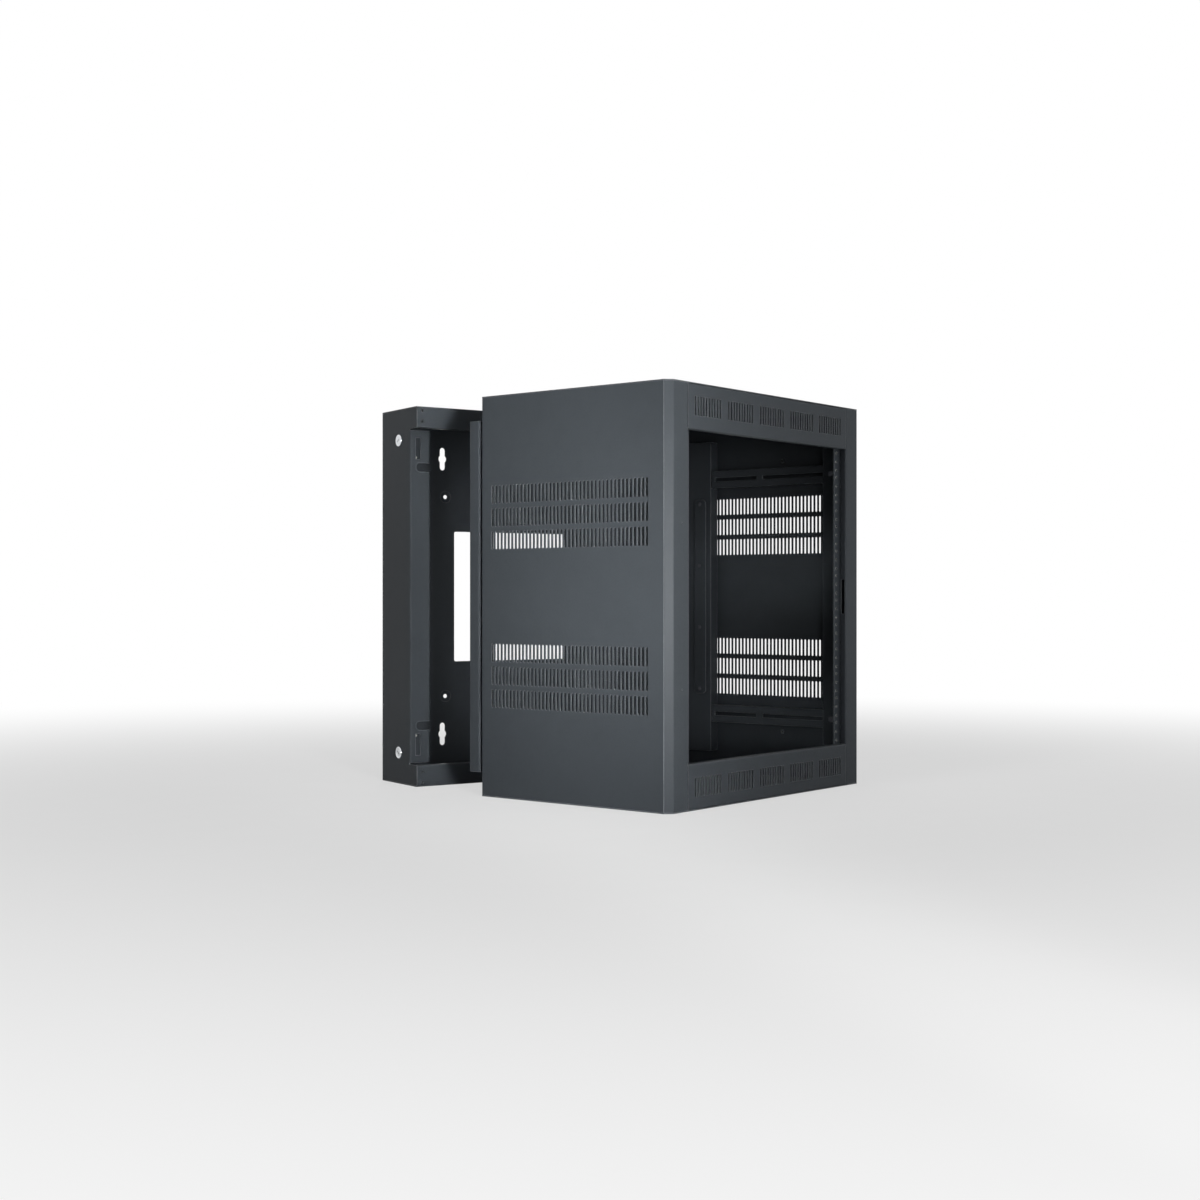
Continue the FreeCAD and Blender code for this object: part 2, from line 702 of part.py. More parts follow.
def front_stile(side):
    """Upright of the front frame: weld flange, bevel, face and return lip in one fold."""
    body = sub_part("front_stile_left" if side < 0 else "front_stile_right")
    miter = "0.41421 * body_sheet"
    points = [
        ("half_width", "front_depth - bevel"),
        ("half_width - bevel", "front_depth"),
        ("half_width - stile_width", "front_depth"),
        ("half_width - stile_width", "front_depth - front_lip"),
        ("half_width - stile_width + body_sheet", "front_depth - front_lip"),
        ("half_width - stile_width + body_sheet", "front_depth - body_sheet"),
        (f"half_width - bevel - {miter}", "front_depth - body_sheet"),
        ("half_width - 2 * body_sheet", f"front_depth - bevel - {miter} + body_sheet"),
        ("half_width - 2 * body_sheet", "front_depth - bevel - weld_flange"),
        ("half_width - body_sheet", "front_depth - bevel - weld_flange"),
        ("half_width - body_sheet", "front_depth - bevel"),
    ]
    sketch = on_plane(body, "XY", "-half_height + body_sheet")
    outline(sketch, [(side_x(side, across), f"-({depth})") for across, depth in points])
    feature = pad(body, sketch, "2 * (half_height - body_sheet)")
    soften(body, feature, sketch, [1, 2], "bend_radius + body_sheet")
    if side < 0:
        holes = on_plane(body, "XZ", "front_depth")
        across = "-half_width + door_hole_inset"
        many_sided(holes, across, "door_hole_high", "door_hole")
        many_sided(holes, across, "-door_hole_low", "door_hole")
        cut(body, holes, "4 * body_sheet")
    else:
        strike = on_plane(body, "YZ", "half_width - stile_width")
        middle = "-front_depth + front_lip / 2 + body_sheet / 2"
        oblong(strike, f"{middle} - strike_depth / 2", f"{middle} + strike_depth / 2",
               "-strike_height / 2", "strike_height / 2")
        cut(body, strike, "4 * body_sheet")
    in_centre_section(body)


def front_rail(end):
    """Cross member of the front frame, between the stiles."""
    body = sub_part("front_rail_bottom" if end < 0 else "front_rail_top")
    folded(body, "YZ", "-half_width + stile_width", "2 * (half_width - stile_width)",
           "body_sheet", "left", ("-front_depth + weld_flange", "half_height - body_sheet"),
           [("left", "-front_depth"), ("down", "half_height - rail_height"),
            ("right", "-front_depth + front_lip")], "y" if end < 0 else None)
    slot = on_plane(body, "XZ", "front_depth")
    first_slot = "-(rail_vent_groups - 1) / 2 * rail_vent_group_pitch - rail_vent_run / 2"
    heights = ("rail_vent_low", "rail_vent_high") if end > 0 else ("-rail_vent_high", "-rail_vent_low")
    oblong(slot, f"{first_slot} - vent_width / 2", f"{first_slot} + vent_width / 2", *heights)
    first = cut(body, slot, "4 * body_sheet")
    group = body.newObject("PartDesign::LinearPattern", body.Name + "_group")
    group.Direction = (slot, ["H_Axis"])
    group.setExpression("Length", bound("rail_vent_run"))
    group.setExpression("Occurrences", bound("rail_vent_count"))
    groups = body.newObject("PartDesign::LinearPattern", body.Name + "_groups")
    groups.Direction = (slot, ["H_Axis"])
    groups.setExpression("Length", bound("rail_vent_group_pitch * (rail_vent_groups - 1)"))
    groups.setExpression("Occurrences", bound("rail_vent_groups"))
    vents = body.newObject("PartDesign::MultiTransform", body.Name + "_vents")
    vents.Originals = [first]
    vents.Transformations = [group, groups]
    finish_feature(body, vents, refine=False)
    in_centre_section(body)


def rear_rail(end):
    """Cross member at the rear, behind which the hinge leaves sit."""
    body = sub_part("rear_rail_bottom" if end < 0 else "rear_rail_top")
    folded(body, "YZ", "-body_inner", "2 * body_inner", "body_sheet", "right",
           ("-rear_depth - weld_flange", "half_height - body_sheet"),
           [("right", "-rear_depth"), ("down", "recess_half"),
            ("left", "-rear_depth - flange_lip")], "y" if end < 0 else None, rounded=False)
    holes = on_plane(body, "XZ", "rear_depth")
    for side in (-1, 1):
        for height in ("screw_low", "screw_high"):
            many_sided(holes, side_x(side, "screw_x"), f"{end} * {height}",
                       "hinge_screw + 2 * screw_clear")
    cut(body, holes, "4 * body_sheet")
    in_centre_section(body)


def rear_channel(side):
    """Neck of the centre section, which nests in the wall section's stepped side."""
    body = sub_part("rear_channel_left" if side < 0 else "rear_channel_right")
    folded(body, "XY", "-neck_half", "2 * neck_half", "body_sheet", "right",
           ("-body_inner", "-rear_depth - weld_flange"),
           [("up", "-rear_depth"), ("right", "-half_width + neck_groove"),
            ("up", "-wall_depth"), ("left", "-half_width"), ("up", "-neck_depth"),
            ("right", "-half_width + neck_width"), ("down", "-neck_depth - neck_lip")],
           "x" if side > 0 else None)
    slots = on_plane(body, "XZ", "neck_depth")
    for end in (-1, 1):
        oblong(slots, side_x(side, "half_width - cam_slot_inset"),
               side_x(side, "half_width - cam_slot_inset - cam_slot_width"),
               f"{end} * cam_slot_low", f"{end} * (cam_slot_high - cam_catch_drop)")
    cut(body, slots, "4 * body_sheet")
    in_centre_section(body)


# ---------------------------------------------------- centre section, fittings

def depth_channel(side, end):
    """Slotted channel along a side, to which the rack rails bolt at any depth."""
    height = "lower" if end < 0 else "upper"
    body = sub_part(f"depth_channel_{height}_" + ("left" if side < 0 else "right"))
    low = f"{end} * channel_rise / 2 - channel_height / 2"
    high = f"{end} * channel_rise / 2 + channel_height / 2"
    folded(body, "XZ", "channel_rear", "channel_front - channel_rear", "body_sheet", "right",
           ("-body_inner", high), [("right", "-web_face"), ("down", low), ("left", "-body_inner")],
           "x" if side > 0 else None, rounded=False)
    slots = on_plane(body, "YZ", side_x(side, "web_face"))
    front_end = "-channel_front + channel_slot_end"
    split = f"{front_end} + channel_front_slot"
    middle = f"{end} * channel_rise / 2"
    for near, far in ((front_end, split),
                      (f"{split} + channel_bridge", "-channel_rear - channel_slot_end")):
        oblong(slots, near, far, f"{middle} - channel_slot / 2", f"{middle} + channel_slot / 2")
    cut(body, slots, "4 * body_sheet")
    in_centre_section(body)


def rear_post(side):
    """Wide upright behind the channels, with a column of tie holes; the hinge side has one."""
    body = sub_part("rear_post_left" if side < 0 else "rear_post_right")
    folded(body, "XY", "-post_height / 2", "post_height", "body_sheet", "left",
           ("-body_inner", "-post_front"),
           [("right", "-web_face"), ("up", "-post_rear"), ("left", "-body_inner")],
           "x" if side > 0 else None, rounded=False)
    holes = on_plane(body, "YZ", side_x(side, "web_face"))
    many_sided(holes, "-post_rear - post_hole_inset",
               "-post_hole_pitch * (post_hole_count - 1) / 2", "post_hole")
    first = cut(body, holes, "4 * body_sheet")
    column = body.newObject("PartDesign::LinearPattern", body.Name + "_column")
    column.Originals = [first]
    column.Direction = (holes, ["V_Axis"])
    column.setExpression("Length", bound("post_hole_pitch * (post_hole_count - 1)"))
    column.setExpression("Occurrences", bound("post_hole_count"))
    finish_feature(body, column, refine=False)
    in_centre_section(body)


def post_plate(side):
    """Flat strip screwed to the post's face."""
    body = sub_part("post_plate_left" if side < 0 else "post_plate_right")
    start = "-web_face" if side < 0 else "web_face - plate_sheet"
    sketch = on_plane(body, "YZ", start)
    front = "-post_front + plate_inset"
    oblong(sketch, front, f"{front} + plate_width", "-plate_height / 2", "plate_height / 2")
    feature = pad(body, sketch, "plate_sheet")
    clipped = body.newObject("PartDesign::Chamfer", body.Name + "_chamfer")
    clipped.Base = (feature, edges_through(feature, sketch, [0, 1, 2, 3]))
    clipped.setExpression("Size", bound("plate_width / 5"))
    finish_feature(body, clipped)
    in_centre_section(body)


def post_screws(side):
    """Four pan heads down a post plate."""
    body = sub_part("post_screws_left" if side < 0 else "post_screws_right")
    start = "-web_face + plate_sheet" if side < 0 else "web_face - plate_sheet - leaf_sheet"
    heads = on_plane(body, "YZ", start)
    for step in (-1.5, -0.5, 0.5, 1.5):
        many_sided(heads, "-post_front + plate_inset + plate_width / 2",
                   f"{step} * plate_screw_pitch", "flat_head")
    pad(body, heads, "leaf_sheet")
    in_centre_section(body)


# ------------------------------------------------------------------ rack rails

def wall_inserts(side):
    """The two press-in threaded inserts high and low on the inside of a side."""
    body = sub_part("wall_inserts_left" if side < 0 else "wall_inserts_right")
    start = "-body_inner" if side < 0 else "body_inner - insert_thick"
    collars = on_plane(body, "YZ", start)
    bores = on_plane(body, "YZ", start)
    for end in (-1, 1):
        place = ("-front_depth + insert_depth", f"{end} * insert_rise / 2")
        many_sided(collars, *place, "insert", 8)
        many_sided(bores, *place, "insert / 2")
    pad(body, collars, "insert_thick")
    cut(body, bores, "4 * insert_thick")
    in_centre_section(body)


def rack_rail(side):
    """Angle with the rack's tapped holes, three to each unit."""
    body = sub_part("rack_rail_left" if side < 0 else "rack_rail_right")
    inner = "rack_hole_spread / 2 - rack_rail_edge"
    folded(body, "XY", "-rack_half - rack_rail_spare", "2 * (rack_half + rack_rail_spare)",
           "rack_rail_sheet", "right", (f"-({inner})", "-rack_rail_face"),
           [("left", "-rack_rail_outer"), ("up", "-rack_rail_face + rack_rail_depth")],
           "x" if side > 0 else None)
    unit = on_plane(body, "XZ", "rack_rail_face")
    across = side_x(side, "rack_hole_spread / 2")
    for step in range(3):
        many_sided(unit, across, f"-rack_half + rack_hole_first + {step} * rack_hole_step",
                   "rack_hole")
    first = cut(body, unit, "4 * rack_rail_sheet")
    units = body.newObject("PartDesign::LinearPattern", body.Name + "_units")
    units.Originals = [first]
    units.Direction = (unit, ["V_Axis"])
    units.setExpression("Length", bound("unit_height * (rack_units - 1)"))
    units.setExpression("Occurrences", bound("rack_units"))
    finish_feature(body, units, refine=False)
    end_holes = on_plane(body, "XZ", "rack_rail_face")
    disc(end_holes, across, "-rack_half + rack_hole_first", "rack_hole")
    disc(end_holes, across,
         "rack_half - unit_height + rack_hole_first + 2 * rack_hole_step", "rack_hole")
    cut(body, end_holes, "4 * rack_rail_sheet")
    bolts = on_plane(body, "YZ", side_x(side, "rack_rail_outer"))
    for end in (-1, 1):
        many_sided(bolts, "-rack_rail_face + rail_bolt_depth", f"{end} * channel_rise / 2",
                   "rail_bolt + 2 * screw_clear")
    cut(body, bolts, "4 * rack_rail_sheet")
    in_centre_section(body)


def rail_bolts(side):
    """The two bolts that clamp a rack rail to its channels."""
    body = sub_part("rail_bolts_left" if side < 0 else "rail_bolts_right")
    flange = "rack_rail_outer - rack_rail_sheet"
    tail = "web_face + body_sheet + slide_clear + rail_nut_thick"
    head_start = f"-({flange})" if side < 0 else f"{flange} - rail_bolt_head_thick"
    shank_start = f"-({tail})" if side < 0 else flange
    heads = on_plane(body, "YZ", head_start)
    shanks = on_plane(body, "YZ", shank_start)
    for end in (-1, 1):
        place = ("-rack_rail_face + rail_bolt_depth", f"{end} * channel_rise / 2")
        many_sided(heads, *place, "rail_bolt_head")
        many_sided(shanks, *place, "rail_bolt")
    pad(body, heads, "rail_bolt_head_thick")
    pad(body, shanks, f"({tail}) - ({flange})")
    in_centre_section(body)


def rail_nuts(side):
    """The square nuts that run inside the channels."""
    body = sub_part("rail_nuts_left" if side < 0 else "rail_nuts_right")
    near = "web_face + body_sheet + slide_clear"
    blanks = on_plane(body, "YZ", f"-({near} + rail_nut_thick)" if side < 0 else near)
    bores = on_plane(body, "YZ", side_x(side, near))
    for end in (-1, 1):
        across = "-rack_rail_face + rail_bolt_depth"
        up = f"{end} * channel_rise / 2"
        oblong(blanks, f"{across} - rail_nut / 2", f"{across} + rail_nut / 2",
               f"{up} - rail_nut / 2", f"{up} + rail_nut / 2")
        many_sided(bores, across, up, "rail_bolt")
    pad(body, blanks, "rail_nut_thick")
    cut(body, bores, "4 * rail_nut_thick")
    in_centre_section(body)


wall_back_plate()
lock_bodies()
lock_nuts()
for either in (-1, 1):
    wall_side(either)
    wall_cap(either)
    hinge_leaf(either, True)
    hinge_leaf(either, False)
    hinge_pin(either)
    lock_plug(either)
    lock_cam(either)
    lock_screw(either)
    side_panel(either)
    end_panel(either)
    front_stile(either)
    front_rail(either)
    rear_rail(either)
    rear_channel(either)
    depth_channel(either, 1)
    depth_channel(either, -1)
    wall_inserts(either)
    rack_rail(either)
    rail_bolts(either)
    rail_nuts(either)
rear_post(1)
post_plate(1)
post_screws(1)
hinge_screws(True)
hinge_screws(False)
doc.recompute()

bodies = [item for item in doc.Objects if item.TypeId == "PartDesign::Body"]
faults = [item.Label for item in doc.Objects if {"Invalid", "Error"} & set(item.State)]
faults += [body.Label for body in bodies if body.Shape.isNull() or not body.Shape.isValid()]
if faults:
    raise RuntimeError("failed: " + ", ".join(faults))
os.makedirs("parts", exist_ok=True)
for body in bodies:
    body.Shape.exportStep(os.path.join("parts", body.Label + ".step"))
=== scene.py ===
"""Looks of the swing-out wall rack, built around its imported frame."""
import json
import math

import bmesh
import bpy
from mathutils import Matrix, Vector


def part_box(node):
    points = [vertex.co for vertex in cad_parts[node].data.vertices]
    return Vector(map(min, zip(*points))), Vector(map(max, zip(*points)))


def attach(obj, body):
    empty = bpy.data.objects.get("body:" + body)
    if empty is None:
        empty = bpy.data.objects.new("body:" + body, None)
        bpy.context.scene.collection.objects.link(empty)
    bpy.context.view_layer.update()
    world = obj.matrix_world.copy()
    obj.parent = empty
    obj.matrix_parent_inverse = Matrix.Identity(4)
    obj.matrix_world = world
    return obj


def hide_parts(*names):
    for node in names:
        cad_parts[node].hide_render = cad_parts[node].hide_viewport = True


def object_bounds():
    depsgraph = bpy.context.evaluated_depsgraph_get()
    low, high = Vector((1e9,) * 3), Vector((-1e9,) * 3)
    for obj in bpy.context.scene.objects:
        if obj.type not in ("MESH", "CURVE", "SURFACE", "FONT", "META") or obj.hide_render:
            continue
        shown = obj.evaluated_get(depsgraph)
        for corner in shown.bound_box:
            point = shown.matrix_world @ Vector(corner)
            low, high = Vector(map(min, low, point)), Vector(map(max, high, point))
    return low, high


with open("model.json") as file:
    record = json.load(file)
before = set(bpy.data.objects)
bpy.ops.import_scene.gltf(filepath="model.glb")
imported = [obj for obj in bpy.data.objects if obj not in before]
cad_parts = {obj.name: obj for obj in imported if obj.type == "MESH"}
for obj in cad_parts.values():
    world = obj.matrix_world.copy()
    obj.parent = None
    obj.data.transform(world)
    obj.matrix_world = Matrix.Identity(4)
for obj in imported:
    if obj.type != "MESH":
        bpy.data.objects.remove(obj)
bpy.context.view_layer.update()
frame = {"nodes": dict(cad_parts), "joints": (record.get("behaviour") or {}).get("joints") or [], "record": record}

MM = 0.001
# metres: points this close are one, and points this near the axis are on it
WELD = 1e-6
ON_AXIS = 1e-7
BEVEL_SAMPLES = 4
RECESS_SAMPLES = 6

# ---------------------------------------------------------------- the resting swing

joints = {joint["name"]: joint for joint in frame["joints"]}
hinge_line = Vector(joints["cabinet_swing"]["pos_m"])
inward = Vector(joints["left_rail_slide"]["axis"])
SWING = math.atan2(-inward.x, inward.y)
STILL = Matrix.Identity(4)
STOOD_UP = Matrix.Rotation(math.pi / 2, 4, "X")
SWUNG = (Matrix.Translation(hinge_line) @ Matrix.Rotation(SWING, 4, "Z")
         @ Matrix.Translation(-hinge_line))

# ---------------------------------------------------------------- shared finish effects, painted shade and painted highlight


def effect_group(name, inputs, outputs):
    """An empty shader node group with named float inputs and outputs."""
    tree = bpy.data.node_groups.new(name, "ShaderNodeTree")
    for label, value in inputs.items():
        socket = tree.interface.new_socket(name=label, in_out="INPUT",
                                           socket_type="NodeSocketFloat")
        socket.default_value = value
    for label in outputs:
        tree.interface.new_socket(name=label, in_out="OUTPUT", socket_type="NodeSocketFloat")
    return tree, tree.nodes.new("NodeGroupInput"), tree.nodes.new("NodeGroupOutput")


def math_node(tree, operation, first, second=None, clamp=False):
    """A Math node on two values, each a socket or a number; gives its output."""
    node = tree.nodes.new("ShaderNodeMath")
    node.operation = operation
    node.use_clamp = clamp
    for socket, value in zip(node.inputs, (first, second)):
        if isinstance(value, bpy.types.NodeSocket):
            tree.links.new(value, socket)
        elif value is not None:
            socket.default_value = value
    return node.outputs[0]


def noise_node(tree, place, scale, detail, stretch=None):
    """Noise over a place; scale is a socket or a number per metre, stretch a scale per axis."""
    if stretch:
        mapping = tree.nodes.new("ShaderNodeMapping")
        mapping.inputs["Scale"].default_value = stretch
        tree.links.new(place, mapping.inputs["Vector"])
        place = mapping.outputs[0]
    node = tree.nodes.new("ShaderNodeTexNoise")
    node.inputs["Detail"].default_value = detail
    tree.links.new(place, node.inputs["Vector"])
    if isinstance(scale, bpy.types.NodeSocket):
        tree.links.new(scale, node.inputs["Scale"])
    else:
        node.inputs["Scale"].default_value = scale
    return node.outputs[0]


def powder_grain():
    """Orange-peel pebbling of a textured powder coat: a height, and a speckle of tone."""
    tree, given, out = effect_group("powder_grain", {"Pebbles": 700.0, "Fine": 0.35},
                                    ["Height", "Speckle"])
    detail, finer = 2.0, 2.7
    place = tree.nodes.new("ShaderNodeTexCoord").outputs["Object"]
    pebbles = noise_node(tree, place, given.outputs["Pebbles"], detail)
    fine_scale = math_node(tree, "MULTIPLY", given.outputs["Pebbles"], finer)
    fine = noise_node(tree, place, fine_scale, detail)
    fine_height = math_node(tree, "MULTIPLY", fine, given.outputs["Fine"])
    tree.links.new(math_node(tree, "ADD", pebbles, fine_height), out.inputs["Height"])
    tree.links.new(math_node(tree, "SUBTRACT", fine, 0.5), out.inputs["Speckle"])
    return tree


def tone_drift():
    """Slow change of tone over a sheet, from the spray and from handling, about zero."""
    tree, given, out = effect_group("tone_drift", {"Amount": 0.05}, ["Drift"])
    patch_share = 0.6
    place = tree.nodes.new("ShaderNodeTexCoord").outputs["Object"]
    broad = noise_node(tree, place, scale=5.0, detail=2.0)
    patchy = noise_node(tree, place, scale=38.0, detail=3.0)
    both = math_node(tree, "ADD", broad, math_node(tree, "MULTIPLY", patchy, patch_share))
    centred = math_node(tree, "SUBTRACT", both, (1 + patch_share) / 2)
    tree.links.new(math_node(tree, "MULTIPLY", centred, given.outputs["Amount"]),
                   out.inputs["Drift"])
    return tree


def worn_and_highlit_edges():
    """Mask of folded and sheared edges, where the coat is thin and rubbed and a painted highlight lightens the
    folds.
    """
    tree, given, out = effect_group("worn_and_highlit_edges", {"Radius": 0.0012, "Strength": 1.0}, ["Mask"])
    gain, least_edge_rub_and_highlight = 7.0, 0.35
    bevel = tree.nodes.new("ShaderNodeBevel")
    bevel.samples = BEVEL_SAMPLES
    tree.links.new(given.outputs["Radius"], bevel.inputs["Radius"])
    surface = tree.nodes.new("ShaderNodeNewGeometry")
    turn = tree.nodes.new("ShaderNodeVectorMath")
    turn.operation = "DOT_PRODUCT"
    tree.links.new(bevel.outputs[0], turn.inputs[0])
    tree.links.new(surface.outputs["Normal"], turn.inputs[1])
    sharp = math_node(tree, "SUBTRACT", 1.0, turn.outputs["Value"])
    place = tree.nodes.new("ShaderNodeTexCoord").outputs["Object"]
    patchy = noise_node(tree, place, scale=90.0, detail=3.0)
    broken = math_node(tree, "ADD", patchy, least_edge_rub_and_highlight)
    edge = math_node(tree, "MULTIPLY", sharp, gain)
    scaled = math_node(tree, "MULTIPLY", edge, broken, clamp=True)
    tree.links.new(math_node(tree, "MULTIPLY", scaled, given.outputs["Strength"]),
                   out.inputs["Mask"])
    return tree


def settled_dust():
    """Mask of fine dust on faces that look up."""
    tree, given, out = effect_group("settled_dust", {"Amount": 0.1}, ["Mask"])
    surface = tree.nodes.new("ShaderNodeNewGeometry")
    split = tree.nodes.new("ShaderNodeSeparateXYZ")
    tree.links.new(surface.outputs["Normal"], split.inputs[0])
    place = tree.nodes.new("ShaderNodeTexCoord").outputs["Object"]
    upward = math_node(tree, "MAXIMUM", split.outputs["Z"], 0.0)
    patchy = noise_node(tree, place, scale=55.0, detail=4.0)
    settled = math_node(tree, "MULTIPLY", upward, patchy)
    tree.links.new(math_node(tree, "MULTIPLY", settled, given.outputs["Amount"], clamp=True),
                   out.inputs["Mask"])
    return tree


def painted_recess_shade():
    """Painted shade: a mask of hollows and box insides, found by ambient occlusion, where the coat is darkened as
    shade would darken it.
    """
    tree, given, out = effect_group("painted_recess_shade", {"Reach": 0.35, "Amount": 0.5}, ["Mask"])
    open_sky = tree.nodes.new("ShaderNodeAmbientOcclusion")
    open_sky.samples = RECESS_SAMPLES
    tree.links.new(given.outputs["Reach"], open_sky.inputs["Distance"])
    gain = 1.5
    closed = math_node(tree, "SUBTRACT", 1.0, open_sky.outputs["AO"])
    deep = math_node(tree, "MULTIPLY", closed, gain, clamp=True)
    tree.links.new(math_node(tree, "MULTIPLY", deep, given.outputs["Amount"]),
                   out.inputs["Mask"])
    return tree


EFFECTS = {make.__name__: make()
           for make in (powder_grain, tone_drift, worn_and_highlit_edges, settled_dust, painted_recess_shade)}


def effect(tree, name, **values):
    """A placed effect group with its own input values."""
    node = tree.nodes.new("ShaderNodeGroup")
    node.node_tree = EFFECTS[name]
    for label, value in values.items():
        node.inputs[label].default_value = value
    return node


def linear(*srgb):
    """A colour written 0 to 255 as Blender's linear numbers."""
    part = [value / 255 for value in srgb]
    return [v / 12.92 if v <= 0.04045 else ((v + 0.055) / 1.055) ** 2.4 for v in part] + [1.0]


def mixed(tree, factor, first, second):
    """Mix of two colours, each a socket or a list of four numbers."""
    color_a, color_b, color_out = 6, 7, 2
    node = tree.nodes.new("ShaderNodeMix")
    node.data_type = "RGBA"
    tree.links.new(factor, node.inputs["Factor"])
    for index, value in ((color_a, first), (color_b, second)):
        if isinstance(value, bpy.types.NodeSocket):
            tree.links.new(value, node.inputs[index])
        else:
            node.inputs[index].default_value = value
    return node.outputs[color_out]


def blank_material(name):
    """A material with one Principled shader; gives the material, its tree and the shader."""
    material = bpy.data.materials.new(name)
    material.use_nodes = True
    tree = material.node_tree
    return material, tree, tree.nodes["Principled BSDF"]


def brightened(tree, color, amount):
    """A colour scaled by one plus an amount that changes over the surface."""
    node = tree.nodes.new("ShaderNodeHueSaturation")
    node.inputs["Color"].default_value = color
    tree.links.new(math_node(tree, "ADD", amount, 1.0), node.inputs["Value"])
    return node.outputs[0]


def grained_normal(tree, height, depth, radius):
    """Bump of a height over normals that are rounded at the sheet's edges."""
    rounded = tree.nodes.new("ShaderNodeBevel")
    rounded.samples = BEVEL_SAMPLES
    rounded.inputs["Radius"].default_value = radius
    bump = tree.nodes.new("ShaderNodeBump")
    bump.inputs["Strength"].default_value = 0.6
    bump.inputs["Distance"].default_value = depth
    tree.links.new(height, bump.inputs["Height"])
    tree.links.new(rounded.outputs[0], bump.inputs["Normal"])
    return bump.outputs[0]


DUST = linear(150, 148, 142)
FOLD_ROUNDING = 2.2 * MM
PLATING_ROUNDING = 0.15 * MM
ALONG_Z = (1.0, 1.0, 0.12)


def powder_coat(name, color, rubbed_and_highlit, recess_shade, roughness, pebbles, depth, specular):
    """Textured powder coat with rubbed folds that also carry a painted highlight, painted shade in recesses, tone
    drift and a little dust.
    """
    speckle_tone, speckle_roughness, wear_polish = 0.45, 0.25, 0.12
    material, tree, shader = blank_material(name)
    grain = effect(tree, "powder_grain", Pebbles=pebbles)
    drift = effect(tree, "tone_drift", Amount=0.16)
    # edge wear and a painted highlight: the folds lighten towards a pale grey
    edge_rub_and_highlight = effect(tree, "worn_and_highlit_edges", Radius=1.3 * MM, Strength=0.6)
    dust = effect(tree, "settled_dust", Amount=0.10)
    # painted shade: the coat darkens towards a dark grey in hollows and box insides
    recess = effect(tree, "painted_recess_shade", Reach=350 * MM, Amount=0.48)
    tone = math_node(tree, "ADD", drift.outputs[0],
                     math_node(tree, "MULTIPLY", grain.outputs["Speckle"], speckle_tone))
    coat = brightened(tree, color, tone)
    coat = mixed(tree, recess.outputs[0], coat, recess_shade)
    coat = mixed(tree, edge_rub_and_highlight.outputs[0], coat, rubbed_and_highlit)
    coat = mixed(tree, dust.outputs[0], coat, DUST)
    tree.links.new(coat, shader.inputs["Base Color"])
    rough = math_node(tree, "ADD", roughness,
                      math_node(tree, "MULTIPLY", grain.outputs["Speckle"], speckle_roughness))
    polish = math_node(tree, "MULTIPLY", edge_rub_and_highlight.outputs[0], wear_polish)
    rough = math_node(tree, "SUBTRACT", rough, polish, clamp=True)
    tree.links.new(rough, shader.inputs["Roughness"])
    shader.inputs["Specular IOR Level"].default_value = specular
    tree.links.new(grained_normal(tree, grain.outputs["Height"], depth, FOLD_ROUNDING),
                   shader.inputs["Normal"])
    return material


def plated_metal(name, color, tint, roughness, brushed, depth):
    """Bright or dulled plating with faint brushed scratches and a change of tint."""
    material, tree, shader = blank_material(name)
    place = tree.nodes.new("ShaderNodeTexCoord").outputs["Object"]
    streaks = noise_node(tree, place, scale=900.0, detail=2.0, stretch=ALONG_Z)
    patches = noise_node(tree, place, scale=140.0, detail=3.0)
    metal = mixed(tree, patches, color, tint)
    tree.links.new(metal, shader.inputs["Base Color"])
    shader.inputs["Metallic"].default_value = 1.0
    spread = math_node(tree, "MULTIPLY", math_node(tree, "SUBTRACT", streaks, 0.5), brushed)
    tree.links.new(math_node(tree, "ADD", roughness, spread, clamp=True),
                   shader.inputs["Roughness"])
    tree.links.new(grained_normal(tree, streaks, depth, PLATING_ROUNDING),
                   shader.inputs["Normal"])
    return material


FINISHES = {
    "charcoal_powder_coat": powder_coat(
        # the pale grey below is edge wear and a painted highlight on the folds
        "charcoal_powder_coat", linear(82, 87, 92), rubbed_and_highlit=linear(198, 203, 208),
        # the dark grey below is painted shade for hollows and box insides
        recess_shade=linear(26, 29, 33), roughness=0.28, pebbles=650.0, depth=0.03 * MM,
        specular=0.05),
    "bright_chrome": plated_metal(
        "bright_chrome", linear(222, 224, 226), tint=linear(204, 208, 212),
        roughness=0.09, brushed=0.08, depth=0.002 * MM),
    "zinc_plate": plated_metal(
        "zinc_plate", linear(196, 198, 200), tint=linear(186, 184, 172),
        roughness=0.27, brushed=0.18, depth=0.01 * MM),
    "black_zinc": plated_metal(
        "black_zinc", linear(96, 98, 102), tint=linear(78, 80, 88),
        roughness=0.33, brushed=0.15, depth=0.01 * MM),
}
node_slot = {row["node"]: row["material_slot"] for row in frame["record"]["subparts"]}
for node, shown in frame["nodes"].items():
    shown.data.materials.clear()
    shown.data.materials.append(FINISHES[node_slot[node]])

# ---------------------------------------------------------------- making meshes


def new_mesh(shape):
    """A mesh from a bmesh, with its doubles merged and its faces turned outward."""
    bmesh.ops.remove_doubles(shape, verts=shape.verts, dist=WELD)
    bmesh.ops.recalc_face_normals(shape, faces=shape.faces)
    mesh = bpy.data.meshes.new("shape")
    shape.to_mesh(mesh)
    shape.free()
    return mesh


def mesh_of(data, modifiers=()):
    """The final mesh of some curve or mesh data with modifiers given as (kind, settings)."""
    holder = bpy.data.objects.new("holder", data)
    bpy.context.scene.collection.objects.link(holder)
    for kind, settings in modifiers:
        step = holder.modifiers.new(kind, kind)
        for key, value in settings.items():
            setattr(step, key, value)
    seen = holder.evaluated_get(bpy.context.evaluated_depsgraph_get())
    mesh = bpy.data.meshes.new_from_object(seen)
    bpy.data.objects.remove(holder)
    return mesh


